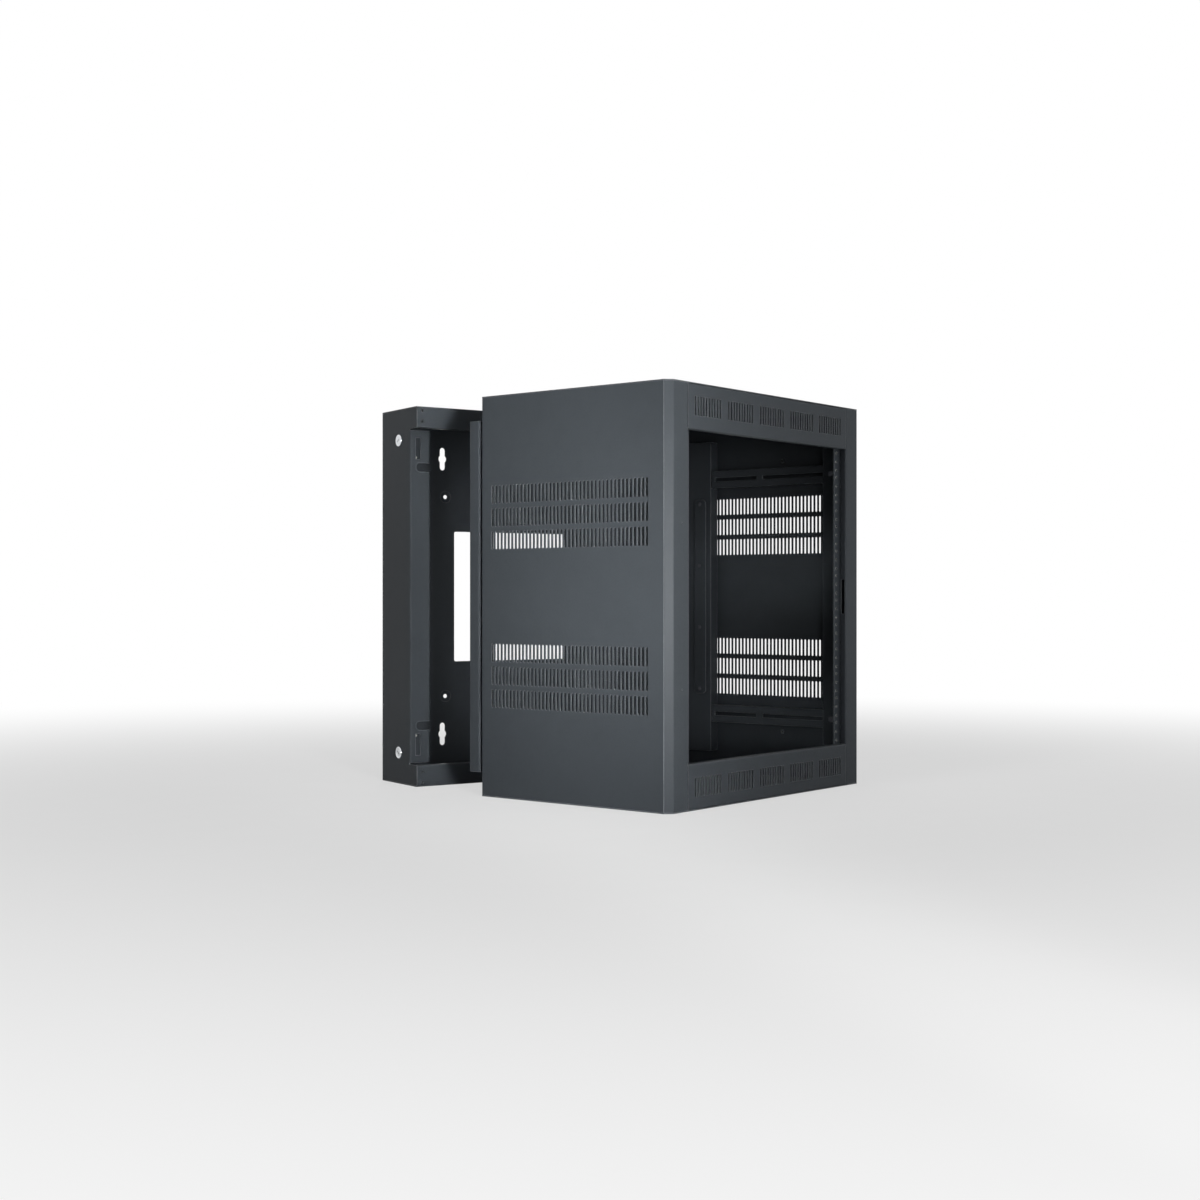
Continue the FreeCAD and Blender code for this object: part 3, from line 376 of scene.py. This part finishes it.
def turned(profile, steps=32):
    """A shape turned about Z from a profile of (radius, height) pairs."""
    shape = bmesh.new()
    rings = []
    for radius, height in profile:
        if radius < ON_AXIS:
            rings.append([shape.verts.new((0, 0, height))])
            continue
        rings.append([shape.verts.new((radius * math.cos(math.tau * step / steps),
                                       radius * math.sin(math.tau * step / steps), height))
                      for step in range(steps)])
    for low, high in zip(rings, rings[1:]):
        for step in range(steps):
            corners = [low[step % len(low)], low[(step + 1) % steps % len(low)],
                       high[(step + 1) % steps % len(high)], high[step % len(high)]]
            shape.faces.new(list(dict.fromkeys(corners)))
    return new_mesh(shape)


def prism(corners, low, high):
    """A straight prism on an outline of (x, y) corners, from height low to high."""
    shape = bmesh.new()
    floor = [shape.verts.new((x, y, low)) for x, y in corners]
    roof = [shape.verts.new((x, y, high)) for x, y in corners]
    shape.faces.new(floor)
    shape.faces.new(roof)
    for step in range(len(corners)):
        after = (step + 1) % len(corners)
        shape.faces.new([floor[step], floor[after], roof[after], roof[step]])
    return new_mesh(shape)


def cut_away(mesh, tool, operation="DIFFERENCE"):
    """The first mesh with the second taken out of it, or after another boolean with it."""
    cutter = bpy.data.objects.new("cutter", tool)
    bpy.context.scene.collection.objects.link(cutter)
    made = mesh_of(mesh, [("BOOLEAN", {"object": cutter, "operation": operation,
                                       "solver": "EXACT"})])
    bpy.data.objects.remove(cutter)
    return made


def sheet_metal(outlines, thick, edge):
    """A flat sheet about z = 0 from its outline and its holes, with softened edges."""
    curve = bpy.data.curves.new("sheet", "CURVE")
    curve.dimensions = "2D"
    curve.fill_mode = "BOTH"
    curve.extrude = thick / 2 - edge
    curve.bevel_depth = edge
    curve.bevel_resolution = 1
    curve.offset = -edge
    for index, points in enumerate(outlines):
        area = sum(a[0] * b[1] - b[0] * a[1] for a, b in zip(points, points[1:] + points[:1]))
        if (area > 0) == (index > 0):
            points = points[::-1]
        spline = curve.splines.new("POLY")
        spline.points.add(len(points) - 1)
        for spot, (x, y) in zip(spline.points, points):
            spot.co = (x, y, 0, 1)
        spline.use_cyclic_u = True
    shape = bmesh.new()
    shape.from_mesh(mesh_of(curve))
    return new_mesh(shape)


def rectangle(x_low, x_high, y_low, y_high):
    """Corners of an upright rectangle."""
    return [(x_low, y_low), (x_high, y_low), (x_high, y_high), (x_low, y_high)]


def arc(x, y, radius, start, end, steps):
    """Points of an arc, both ends included, angles in degrees."""
    return [(x + radius * math.cos(math.radians(start + (end - start) * step / steps)),
             y + radius * math.sin(math.radians(start + (end - start) * step / steps)))
            for step in range(steps + 1)]


def rounded_rectangle(x_low, x_high, y_low, y_high, radius):
    """A rectangle with round corners."""
    steps = 4
    centres = ((x_high - radius, y_high - radius), (x_low + radius, y_high - radius),
               (x_low + radius, y_low + radius), (x_high - radius, y_low + radius))
    return [point for turn, (x, y) in enumerate(centres)
            for point in arc(x, y, radius, 90 * turn, 90 * turn + 90, steps)]


def circle(x, y, radius, steps=24):
    """Points of a whole circle, the first one not repeated."""
    return arc(x, y, radius, 0, 360, steps)[:-1]


def upright_slot(x, low, high, width, steps):
    """A slot with round ends, its length along y."""
    half = width / 2
    return (arc(x, high - half, half, 0, 180, steps)
            + arc(x, low + half, half, 180, 360, steps))


def joined(meshes):
    """Several meshes as one."""
    shape = bmesh.new()
    for mesh in meshes:
        shape.from_mesh(mesh)
    whole = bpy.data.meshes.new("joined")
    shape.to_mesh(whole)
    shape.free()
    return whole


def moved(mesh, matrix):
    """A copy of a mesh put through a matrix."""
    copy = mesh.copy()
    copy.transform(matrix)
    return copy


ROUNDED = math.radians(38)
FLAT = math.radians(17)


def piece(name, mesh, body, slot, stands_for=(), smooth=ROUNDED):
    """A finished piece that rides on a body; folds sharper than the smooth angle stay sharp."""
    mesh.name = name
    mesh.materials.clear()
    mesh.materials.append(FINISHES[slot])
    mesh.polygons.foreach_set("use_smooth", [True] * len(mesh.polygons))
    mesh.set_sharp_from_angle(angle=smooth)
    made = bpy.data.objects.new(name, mesh)
    bpy.context.scene.collection.objects.link(made)
    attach(made, body)
    if stands_for:
        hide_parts(*stands_for)


def solids_of(node, turn=STILL):
    """Boxes of a node's separate solids, as drawn before the turn."""
    shape = bmesh.new()
    shape.from_mesh(frame["nodes"][node].data)
    shape.transform(turn.inverted())
    bmesh.ops.remove_doubles(shape, verts=shape.verts, dist=WELD)
    boxes, seen = [], set()
    for first in shape.verts:
        if first in seen:
            continue
        found, island = [first], []
        seen.add(first)
        while found:
            vert = found.pop()
            island.append(vert.co.copy())
            for edge in vert.link_edges:
                other = edge.other_vert(vert)
                if other not in seen:
                    seen.add(other)
                    found.append(other)
        boxes.append((Vector(min(co[axis] for co in island) for axis in range(3)),
                      Vector(max(co[axis] for co in island) for axis in range(3))))
    shape.free()
    return boxes


def facing(outward):
    """The turn that points Z outward and keeps Y up."""
    return Vector(outward).to_track_quat("Z", "Y").to_matrix().to_4x4()


def in_place_of(node, make, outward, turn=STILL):
    """A made shape in the place of each of a node's solids, its top at the outward end."""
    axis = max(range(3), key=lambda index: abs(outward[index]))
    made = []
    for low, high in solids_of(node, turn):
        size, centre = high - low, (low + high) / 2
        radius = max(size[index] for index in range(3) if index != axis) / 2
        top = centre + Vector(outward) * size[axis] / 2
        place = turn @ Matrix.Translation(top) @ facing(outward)
        made.append(moved(make(radius, size[axis]), place))
    return joined(made)


# ---------------------------------------------------------------- fasteners


def thread(radius, start, end, pitch=0.8 * MM, depth=0.25 * MM):
    """Profile of thread ridges down from start to end; a negative depth is an inside thread."""
    count = max(1, int((start - end) / pitch))
    profile = []
    for step in range(count):
        top = start - step * pitch
        profile += [(radius - depth, top), (radius, top - pitch / 2)]
    return profile + [(radius - depth, start - count * pitch), (radius - depth, end)]


# shares of a screw head: (its radius, its thickness below the top) along the dome, half the
# length and half the width of a recess in radii, the recess's depth in thicknesses
DOME = ((0.45, 0.02), (0.75, 0.14), (0.93, 0.42), (1, 0.75), (1, 1))
RECESS_MOUTH = (0.62, 0.14)
RECESS_FLOOR = (0.34, 0.07)
RECESS_DEPTH = 0.55
# shares of the head's or the nut's radius
SCREW_SHANK = 0.56
BOLT_SHANK = 0.54
WASHER_FACE = 0.95
SQUARE_NUT_CLIP = 0.12
SQUARE_NUT_BORE = 0.5
CLAMP_NUT_BORE = 0.695


def cross_recess(radius, depth):
    """Tools for the cross recess of a screw head, narrowing as they go down from above it."""
    made = []
    for along, across in ((1, 0), (0, 1)):
        shape = bmesh.new()
        rings = []
        for height, (reach, half) in ((depth, RECESS_MOUTH), (-depth, RECESS_FLOOR)):
            rings.append([shape.verts.new(((along * x + across * y) * radius,
                                           (along * y + across * x) * radius, height))
                          for x, y in rectangle(-reach, reach, -half, half)])
        mouth, floor = rings
        shape.faces.new(mouth)
        shape.faces.new(floor)
        for step in range(4):
            after = (step + 1) % 4
            shape.faces.new([mouth[step], mouth[after], floor[after], floor[step]])
        made.append(new_mesh(shape))
    return made


def domed_screw(head):
    """Maker of a screw with a low domed head of that thickness and a cross recess."""
    def make(radius, length):
        profile = [(0, 0)] + [(across * radius, -down * head) for across, down in DOME]
        if length > head + MM:
            profile += thread(SCREW_SHANK * radius, -head, -length) + [(0, -length)]
        else:
            profile += [(0, -head)]
        mesh = turned(profile)
        for tool in cross_recess(radius, RECESS_DEPTH * head):
            mesh = cut_away(mesh, tool)
        return mesh
    return make


def hexagon(radius):
    """Corners of a hexagon, one of them straight up."""
    return [(radius * math.cos(math.radians(60 * step + 30)),
             radius * math.sin(math.radians(60 * step + 30))) for step in range(6)]


def chamfered_hexagon(radius, low, high, both_ends):
    """A hexagon whose corners are turned off at its top, and at its foot too if both ends."""
    flat, clear, drop = 0.90 * radius, 1.06 * radius, 0.16 * radius
    outline = [(0, high), (flat, high), (clear, high - drop)]
    outline += [(clear, low + drop), (flat, low)] if both_ends else [(clear, low)]
    limit = turned(outline + [(0, low)], steps=48)
    return cut_away(prism(hexagon(radius), low, high), limit, "INTERSECT")


def hexagon_bolt(head):
    """Maker of a hexagon-headed bolt with a washer face and a threaded shank."""
    cap_foot, washer_top = -head + 0.3 * MM, -head + 0.4 * MM

    def make(radius, length):
        cap = chamfered_hexagon(radius, cap_foot, 0, False)
        washer = WASHER_FACE * radius
        shank = turned([(0, washer_top), (washer, washer_top), (washer, -head)]
                       + thread(BOLT_SHANK * radius, -head, -length) + [(0, -length)])
        return joined([cap, shank])
    return make


def bored(blank, bore, length):
    """A nut's blank with a bore of that radius right through it."""
    return cut_away(blank, turned([(0, MM), (bore, MM), (bore, -length - MM),
                                   (0, -length - MM)]))


def square_nut(radius, length):
    """Square nut with broken corners and a bore."""
    clip = SQUARE_NUT_CLIP * radius
    corners = [(-radius, -radius + clip), (-radius + clip, -radius), (radius - clip, -radius),
               (radius, -radius + clip), (radius, radius - clip), (radius - clip, radius),
               (-radius + clip, radius), (-radius, radius - clip)]
    return bored(prism(corners, -length, 0), SQUARE_NUT_BORE * radius, length)


def clamp_nut(radius, length):
    """Chamfered hexagon nut that fits over a lock's barrel."""
    blank = chamfered_hexagon(radius, -length, 0, True)
    return bored(blank, CLAMP_NUT_BORE * radius, length)


FLAT_HEAD = 0.8 * MM
BOLT_HEAD = 3.0 * MM
piece("hinge_screws_fixed",
      in_place_of("hinge_screws_wall", domed_screw(FLAT_HEAD), (0, -1, 0)),
      "wall_section", "zinc_plate", ["hinge_screws_wall"])
piece("hinge_screws_swung",
      in_place_of("hinge_screws_cabinet", domed_screw(FLAT_HEAD), (0, 1, 0), SWUNG),
      "centre_section", "zinc_plate", ["hinge_screws_cabinet"])
piece("post_plate_screws",
      in_place_of("post_screws_right", domed_screw(FLAT_HEAD), (-1, 0, 0), SWUNG),
      "centre_section", "black_zinc", ["post_screws_right"])
for side, hand in (("left", 1), ("right", -1)):
    piece(f"rail_clamp_bolts_{side}",
          in_place_of(f"rail_bolts_{side}", hexagon_bolt(BOLT_HEAD), (hand, 0, 0), SWUNG),
          f"{side}_rail", "black_zinc", [f"rail_bolts_{side}"])
    piece(f"rail_clamp_nuts_{side}",
          in_place_of(f"rail_nuts_{side}", square_nut, (-hand, 0, 0), SWUNG),
          f"{side}_rail", "black_zinc", [f"rail_nuts_{side}"])


INSERT_BORE = 0.52


def insert_flange(radius, length):
    """Painted-over flange of a press-in insert, with its bore left open."""
    bore = INSERT_BORE * radius
    return turned([(bore, 0), (0.85 * radius, 0), (radius, -0.4 * length), (radius, -length),
                   (bore, -length), (bore, 0)])


def insert_bore(radius, length):
    """Bare threaded inside of a press-in insert."""
    bore, top = INSERT_BORE * radius, -0.1 * length
    ridges = thread(0.9 * bore, top, -length, pitch=0.5 * MM, depth=-0.12 * MM)
    return turned([(bore, top), (bore, -length), (0.8 * bore, -length)]
                  + ridges[::-1] + [(bore, top)], steps=24)


for side, hand in (("left", 1), ("right", -1)):
    node = f"wall_inserts_{side}"
    piece(f"insert_flanges_{side}", in_place_of(node, insert_flange, (hand, 0, 0), SWUNG),
          "centre_section", "charcoal_powder_coat", [node])
    piece(f"insert_threads_{side}", in_place_of(node, insert_bore, (hand, 0, 0), SWUNG),
          "centre_section", "zinc_plate")

# ---------------------------------------------------------------- cam locks

BEZEL_THICK = 3.0 * MM
PLUG_BORE = 6.05 * MM
PLUG_RADIUS = 5.98 * MM
BARREL = 9.2 * MM
STEM_LENGTH = 2.5 * MM
STEM_CORNER = 4.5 * MM
KEYWAY = (0.8 * MM, 4.5 * MM, 5 * MM)
CAM_SCREW_HEAD = 2.4 * MM
CAM_REST = math.radians(51.0)


def lock_housing(radius, length):
    """Bezel with a rolled rim and a dished face, on a threaded barrel."""
    mouth = (PLUG_BORE, -0.9 * MM)
    profile = [mouth, (PLUG_BORE + 0.5 * MM, -0.45 * MM), (8.2 * MM, -0.55 * MM),
               (9.0 * MM, -0.1 * MM), (9.7 * MM, 0), (10.4 * MM, -0.25 * MM),
               (radius - 0.12 * MM, -0.9 * MM), (radius, -1.6 * MM), (radius, -BEZEL_THICK),
               (BARREL, -BEZEL_THICK)]
    profile += thread(BARREL, -BEZEL_THICK, -length, pitch=1.1 * MM, depth=0.4 * MM)
    return turned(profile + [(PLUG_BORE, -length), mouth], steps=64)


def lock_core(length):
    """Keyed plug with its square stem, top at zero."""
    face, shoulder, stem_top = -0.35 * MM, -0.8 * MM, -length + STEM_LENGTH
    core = turned([(0, face), (PLUG_RADIUS - 0.5 * MM, face), (PLUG_RADIUS, shoulder),
                   (PLUG_RADIUS, stem_top), (0, stem_top)], steps=48)
    half, reach, deep = KEYWAY
    core = cut_away(core, prism(rectangle(-half, half, -reach, reach), -deep, MM))
    side = STEM_CORNER * math.cos(math.pi / 4)
    return joined([core, prism(rectangle(-side, side, -side, side), -length, stem_top)])


piece("lock_bezels", in_place_of("lock_bodies", lock_housing, (-1, 0, 0)), "wall_section",
      "bright_chrome", ["lock_bodies"])
piece("lock_clamp_nuts", in_place_of("lock_nuts", clamp_nut, (1, 0, 0)), "wall_section",
      "zinc_plate", ["lock_nuts"])
for end, hand in (("upper", 1), ("lower", -1)):
    low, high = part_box(f"lock_plug_{end}")
    turn = (Matrix.Translation(Vector((low.x, (low.y + high.y) / 2, (low.z + high.z) / 2)))
            @ Matrix.Rotation(hand * CAM_REST, 4, "X") @ facing((-1, 0, 0)))
    piece(f"lock_key_plug_{end}", moved(lock_core(high.x - low.x), turn), f"{end}_lock",
          "bright_chrome", [f"lock_plug_{end}"])
    piece(f"cam_screw_{end}",
          in_place_of(f"lock_screw_{end}", domed_screw(CAM_SCREW_HEAD), (1, 0, 0)),
          f"{end}_lock", "zinc_plate", [f"lock_screw_{end}"])

# ---------------------------------------------------------------- hinges

PIVOT_BORE = 2.05 * MM
KNUCKLE = 4.0 * MM
LEAF_REACH = 30 * MM
LEAF_SHEET = 2 * MM
SCREW_HOLE = 2.6 * MM
LEAF_CHAMFER = 2 * MM
WALL_LEAF_BACK = -140 * MM
CABINET_LEAF_BACK = -144 * MM
LEAF_EDGE = hinge_line.x - 4.5 * MM
KNUCKLE_EDGE = hinge_line.x - 3.0 * MM
KNUCKLE_GAP = 0.15 * MM
KNUCKLE_CHAMFER = 0.3 * MM
LEAF_SOFTENING = 0.25 * MM


def hinge_leaf(node, turn, back, knuckle_below, screws):
    """Leaf plate with its curled knuckle, as drawn before the turn."""
    (low, high), = solids_of(node, turn)
    middle = (low.z + high.z) / 2
    left, clipped = LEAF_EDGE - LEAF_REACH, LEAF_EDGE - LEAF_CHAMFER
    if knuckle_below:
        foot, head = low.z, middle - KNUCKLE_GAP
        outline = [(left, low.z), (KNUCKLE_EDGE, low.z), (KNUCKLE_EDGE, head),
                   (LEAF_EDGE, head + MM), (LEAF_EDGE, high.z - LEAF_CHAMFER),
                   (clipped, high.z), (left, high.z)]
    else:
        foot, head = middle + KNUCKLE_GAP, high.z
        outline = [(left, low.z), (clipped, low.z), (LEAF_EDGE, low.z + LEAF_CHAMFER),
                   (LEAF_EDGE, foot - MM), (KNUCKLE_EDGE, foot), (KNUCKLE_EDGE, high.z),
                   (left, high.z)]
    holes = [circle((a.x + b.x) / 2, (a.z + b.z) / 2, SCREW_HOLE) for a, b in screws
             if low.z < a.z < high.z]
    plate = sheet_metal([outline] + holes, LEAF_SHEET, LEAF_SOFTENING)
    plate.transform(Matrix.Translation((0, back - LEAF_SHEET / 2, 0)) @ STOOD_UP)
    rim = KNUCKLE - KNUCKLE_CHAMFER
    tube = turned([(PIVOT_BORE, foot), (rim, foot), (KNUCKLE, foot + KNUCKLE_CHAMFER),
                   (KNUCKLE, head - KNUCKLE_CHAMFER), (rim, head), (PIVOT_BORE, head),
                   (PIVOT_BORE, foot)], steps=40)
    tube.transform(Matrix.Translation((hinge_line.x, hinge_line.y, 0)))
    return moved(joined([plate, tube]), turn)


for owner, body, turn, back, below in (
        ("wall", "wall_section", STILL, WALL_LEAF_BACK, True),
        ("cabinet", "centre_section", SWUNG, CABINET_LEAF_BACK, False)):
    screws = solids_of(f"hinge_screws_{owner}", turn)
    for end in ("top", "bottom"):
        node = f"hinge_leaf_{owner}_{end}"
        piece(f"hinge_{owner}_plate_{end}", hinge_leaf(node, turn, back, below, screws), body,
              "charcoal_powder_coat", [node], FLAT)

# ---------------------------------------------------------------- back plate

WALL_HOLE = 3.8 * MM
DISH = 11.0 * MM
DISH_STEPS = 40
KEYHOLE_PLACE = (168.5 * MM, 262 * MM)
WALL_HOLE_PLACE = (162 * MM, 190 * MM)
CABLE_OPENING_LEFT = -143 * MM
CABLE_OPENING_HALF = 124 * MM
CABLE_OPENING_CORNER = 3 * MM
PLATE_SOFTENING = 0.3 * MM


def keyhole(x, z):
    """Double keyhole: a round across the middle of an upright slot with round ends."""
    half, tall, round_half, steps = 5.5 * MM, 21.5 * MM, 8.25 * MM, 6
    meet = math.degrees(math.asin(half / round_half))
    return (arc(x, z, round_half, meet - 90, 90 - meet, 2 * steps)
            + arc(x, z + tall - half, half, 0, 180, steps)
            + arc(x, z, round_half, 90 + meet, 270 - meet, 2 * steps)
            + arc(x, z - tall + half, half, 180, 360, steps))


def wall_dish():
    """Dish round a wall hole, about the middle of the plate's thickness."""
    face, lip, slope = 0.95 * MM, 0.02 * MM, 1.2 * MM
    return turned([(WALL_HOLE, -face), (WALL_HOLE, -0.45 * MM),
                   (WALL_HOLE + slope, -0.35 * MM), (DISH - slope, 0.75 * MM),
                   (DISH + lip, face), (DISH + lip, -face), (WALL_HOLE, -face)], DISH_STEPS)


def back_plate():
    """Back plate with the cable opening, keyholes and four dished wall holes."""
    low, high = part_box("wall_back_plate")
    holes = [rounded_rectangle(CABLE_OPENING_LEFT, CABLE_OPENING_LEFT + 2 * CABLE_OPENING_HALF,
                               -CABLE_OPENING_HALF, CABLE_OPENING_HALF, CABLE_OPENING_CORNER)]
    dishes = []
    for side in (-1, 1):
        for end in (-1, 1):
            holes.append(keyhole(side * KEYHOLE_PLACE[0], end * KEYHOLE_PLACE[1]))
            spot = (side * WALL_HOLE_PLACE[0], end * WALL_HOLE_PLACE[1])
            holes.append(circle(*spot, DISH, DISH_STEPS))
            dishes.append(moved(wall_dish(), Matrix.Translation((*spot, 0))))
    outline = rectangle(low.x, high.x, low.z, high.z)
    sheet = sheet_metal([outline] + holes, high.y - low.y, PLATE_SOFTENING)
    plate = joined([sheet] + dishes)
    plate.transform(Matrix.Translation((0, (low.y + high.y) / 2, 0)) @ STOOD_UP)
    return plate


piece("back_plate_sheet", back_plate(), "wall_section", "charcoal_powder_coat",
      ["wall_back_plate"], FLAT)

# ---------------------------------------------------------------- vented sides

VENT = {"width": 4 * MM, "height": 31 * MM, "pitch": 8.08 * MM, "first": 31.2 * MM,
        "row": 39 * MM, "low": 80.5 * MM, "count": 42, "rows": 3}
VENT_END_STEPS = 4
VENT_SOFTENING = 0.25 * MM


def vented_side(node):
    """Flat side sheet with its slots, drawn shut and then turned to rest."""
    (low, high), = solids_of(node, SWUNG)
    holes = []
    for column in range(VENT["count"]):
        across = low.y + VENT["first"] + VENT["width"] / 2 + column * VENT["pitch"]
        for row in range(VENT["rows"]):
            foot = VENT["low"] + row * VENT["row"]
            for hand in (1, -1):
                ends = sorted((hand * foot, hand * (foot + VENT["height"])))
                holes.append(upright_slot(across, *ends, VENT["width"], VENT_END_STEPS))
    outline = rectangle(low.y, high.y, low.z, high.z)
    sheet = sheet_metal([outline] + holes, high.x - low.x, VENT_SOFTENING)
    stand = Matrix(((0, 0, 1, (low.x + high.x) / 2), (1, 0, 0, 0), (0, 1, 0, 0), (0, 0, 0, 1)))
    return moved(sheet, SWUNG @ stand)


for side in ("left", "right"):
    piece(f"vented_side_{side}", vented_side(f"side_panel_{side}"), "centre_section",
          "charcoal_powder_coat", [f"side_panel_{side}"], FLAT)

# ---------------------------------------------------------------- tapped rack holes

UNIT = 44.45 * MM
RACK_UNITS = 12
HOLES_PER_UNIT = 3
HOLE_STEP = 15.875 * MM
FIRST_HOLE = 6.35 * MM
HOLE_SPREAD = 232.55 * MM
RAIL_SHEET = 2.5 * MM
COLLAR = 2.85 * MM
COLLAR_BORE = 2.3 * MM
TAPPED = 2.15 * MM
PROUD = 0.05 * MM

ridges = thread(TAPPED, -0.1 * MM, -RAIL_SHEET, pitch=0.79 * MM, depth=-0.2 * MM)
collar = turned([(COLLAR, -RAIL_SHEET - PROUD), (COLLAR, 0), (2.75 * MM, PROUD),
                 (COLLAR_BORE, PROUD)] + ridges
                + [(COLLAR_BORE, -RAIL_SHEET - PROUD), (COLLAR, -RAIL_SHEET - PROUD)], steps=24)
for side, hand in (("left", -1), ("right", 1)):
    (low, high), = solids_of(f"rack_rail_{side}", SWUNG)
    collars = []
    for unit in range(RACK_UNITS):
        for step in range(HOLES_PER_UNIT):
            up = -RACK_UNITS * UNIT / 2 + unit * UNIT + FIRST_HOLE + step * HOLE_STEP
            place = Matrix.Translation((hand * HOLE_SPREAD, low.y, up)) @ facing((0, -1, 0))
            collars.append(moved(collar, SWUNG @ place))
    piece(f"rack_hole_threads_{side}", joined(collars), f"{side}_rail", "zinc_plate")

# ---------------------------------------------------------------- floor, light and camera

FLOOR_REACH = 30.0
FADE_START, FADE_END, LEAST_FADE = 0.7, 3.0, 0.6


def seen_directly(tree):
    """One for rays from the eye, from gloss or through glass."""
    path = tree.nodes.new("ShaderNodeLightPath")
    direct = math_node(tree, "MAXIMUM", path.outputs["Is Camera Ray"],
                       path.outputs["Is Glossy Ray"])
    return math_node(tree, "MAXIMUM", direct, path.outputs["Is Transmission Ray"])


def floor_sheet():
    """Pale floor that keeps the shadow near the rack and fades to white far from it."""
    material, tree, shader = blank_material("pale_floor")
    place = tree.nodes.new("ShaderNodeTexCoord").outputs["Object"]
    mottle = noise_node(tree, place, scale=14.0, detail=4.0)
    tree.links.new(mixed(tree, mottle, linear(236, 236, 235), linear(242, 242, 241)),
                   shader.inputs["Base Color"])
    shader.inputs["Roughness"].default_value = 0.8
    shader.inputs["Specular IOR Level"].default_value = 0.1
    white = tree.nodes.new("ShaderNodeEmission")
    reach = tree.nodes.new("ShaderNodeVectorMath")
    reach.operation = "LENGTH"
    tree.links.new(place, reach.inputs[0])
    fade = tree.nodes.new("ShaderNodeMapRange")
    fade.interpolation_type = "SMOOTHSTEP"
    fade.inputs["From Min"].default_value = FADE_START
    fade.inputs["From Max"].default_value = FADE_END
    fade.inputs["To Min"].default_value = LEAST_FADE
    tree.links.new(reach.outputs["Value"], fade.inputs["Value"])
    mix = tree.nodes.new("ShaderNodeMixShader")
    faded = math_node(tree, "MULTIPLY", fade.outputs[0], seen_directly(tree))
    tree.links.new(faded, mix.inputs[0])
    tree.links.new(shader.outputs[0], mix.inputs[1])
    tree.links.new(white.outputs[0], mix.inputs[2])
    tree.links.new(mix.outputs[0], tree.nodes["Material Output"].inputs["Surface"])
    shape = bmesh.new()
    bmesh.ops.create_grid(shape, x_segments=8, y_segments=8, size=FLOOR_REACH)
    mesh = bpy.data.meshes.new("floor")
    shape.to_mesh(mesh)
    shape.free()
    mesh.materials.append(material)
    made = bpy.data.objects.new("floor", mesh)
    low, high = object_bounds()
    made.location = ((low.x + high.x) / 2, (low.y + high.y) / 2, low.z)
    bpy.context.scene.collection.objects.link(made)


floor_sheet()

world = bpy.data.worlds.new("studio")
world.use_nodes = True
bpy.context.scene.world = world
sky = world.node_tree
room = sky.nodes["Background"]
room.inputs["Color"].default_value = (0.92, 0.96, 1.0, 1.0)
room.inputs["Strength"].default_value = 0.05
plain = sky.nodes.new("ShaderNodeBackground")
plain.inputs["Color"].default_value = (1.0, 1.0, 1.0, 1.0)
both = sky.nodes.new("ShaderNodeMixShader")
sky.links.new(seen_directly(sky), both.inputs[0])
sky.links.new(room.outputs[0], both.inputs[1])
sky.links.new(plain.outputs[0], both.inputs[2])
sky.links.new(both.outputs[0], sky.nodes["World Output"].inputs["Surface"])

# name: place, aim, width, height, beam in degrees, watts
LAMPS = {
    "front_strip": ((-0.76, -2.5, 0.0), (-0.35, -0.75, 0.0), 0.3, 0.66, 36, 1.08),
    "low_strip": ((-0.76, -2.5, -0.05), (-0.35, -0.75, -0.35), 0.3, 0.5, 20, 0.45),
    "high_strip": ((-0.76, -2.5, 0.08), (-0.35, -0.75, 0.36), 0.3, 0.5, 20, 0.5),
    "side_softbox": ((-2.7, -1.35, 0.4), (-0.2, -0.74, 0.0), 0.6, 0.6, 18, 0.7),
    "right_softbox": ((1.9, -2.6, 0.9), (0.1, -0.5, 0.0), 1.0, 1.0, 180, 4.0),
    "rear_softbox": ((1.2, 3.0, 0.0), (0.0, -0.2, 0.0), 1.6, 0.6, 180, 18.0),
    "facing_softbox": ((0.5, -3.6, 0.0), (0.0, -0.6, 0.0), 1.0, 0.5, 180, 18.0),
    "top_softbox": ((0.0, -0.6, 2.4), (0.0, -0.3, 0.0), 1.6, 1.6, 180, 5.0),
}
for name, (place, aim, width, height, beam, watts) in LAMPS.items():
    lamp = bpy.data.lights.new(name, "AREA")
    lamp.shape = "RECTANGLE"
    lamp.size = width
    lamp.size_y = height
    lamp.spread = math.radians(beam)
    lamp.energy = watts
    made = bpy.data.objects.new(name, lamp)
    made.location = place
    made.rotation_euler = (Vector(aim) - Vector(place)).to_track_quat("-Z", "Y").to_euler()
    bpy.context.scene.collection.objects.link(made)

eye = bpy.data.cameras.new("camera")
eye.sensor_width = 36.0
eye.lens = 51.3
eye.shift_y = -0.0029
eye.clip_end = 100.0
camera = bpy.data.objects.new("camera", eye)
camera.location = (-1.715, -2.889, 0.0)
camera.rotation_euler = (math.pi / 2, 0.0, math.radians(-33.44))
bpy.context.scene.collection.objects.link(camera)
bpy.context.scene.camera = camera
bpy.context.scene.view_settings.view_transform = "Standard"
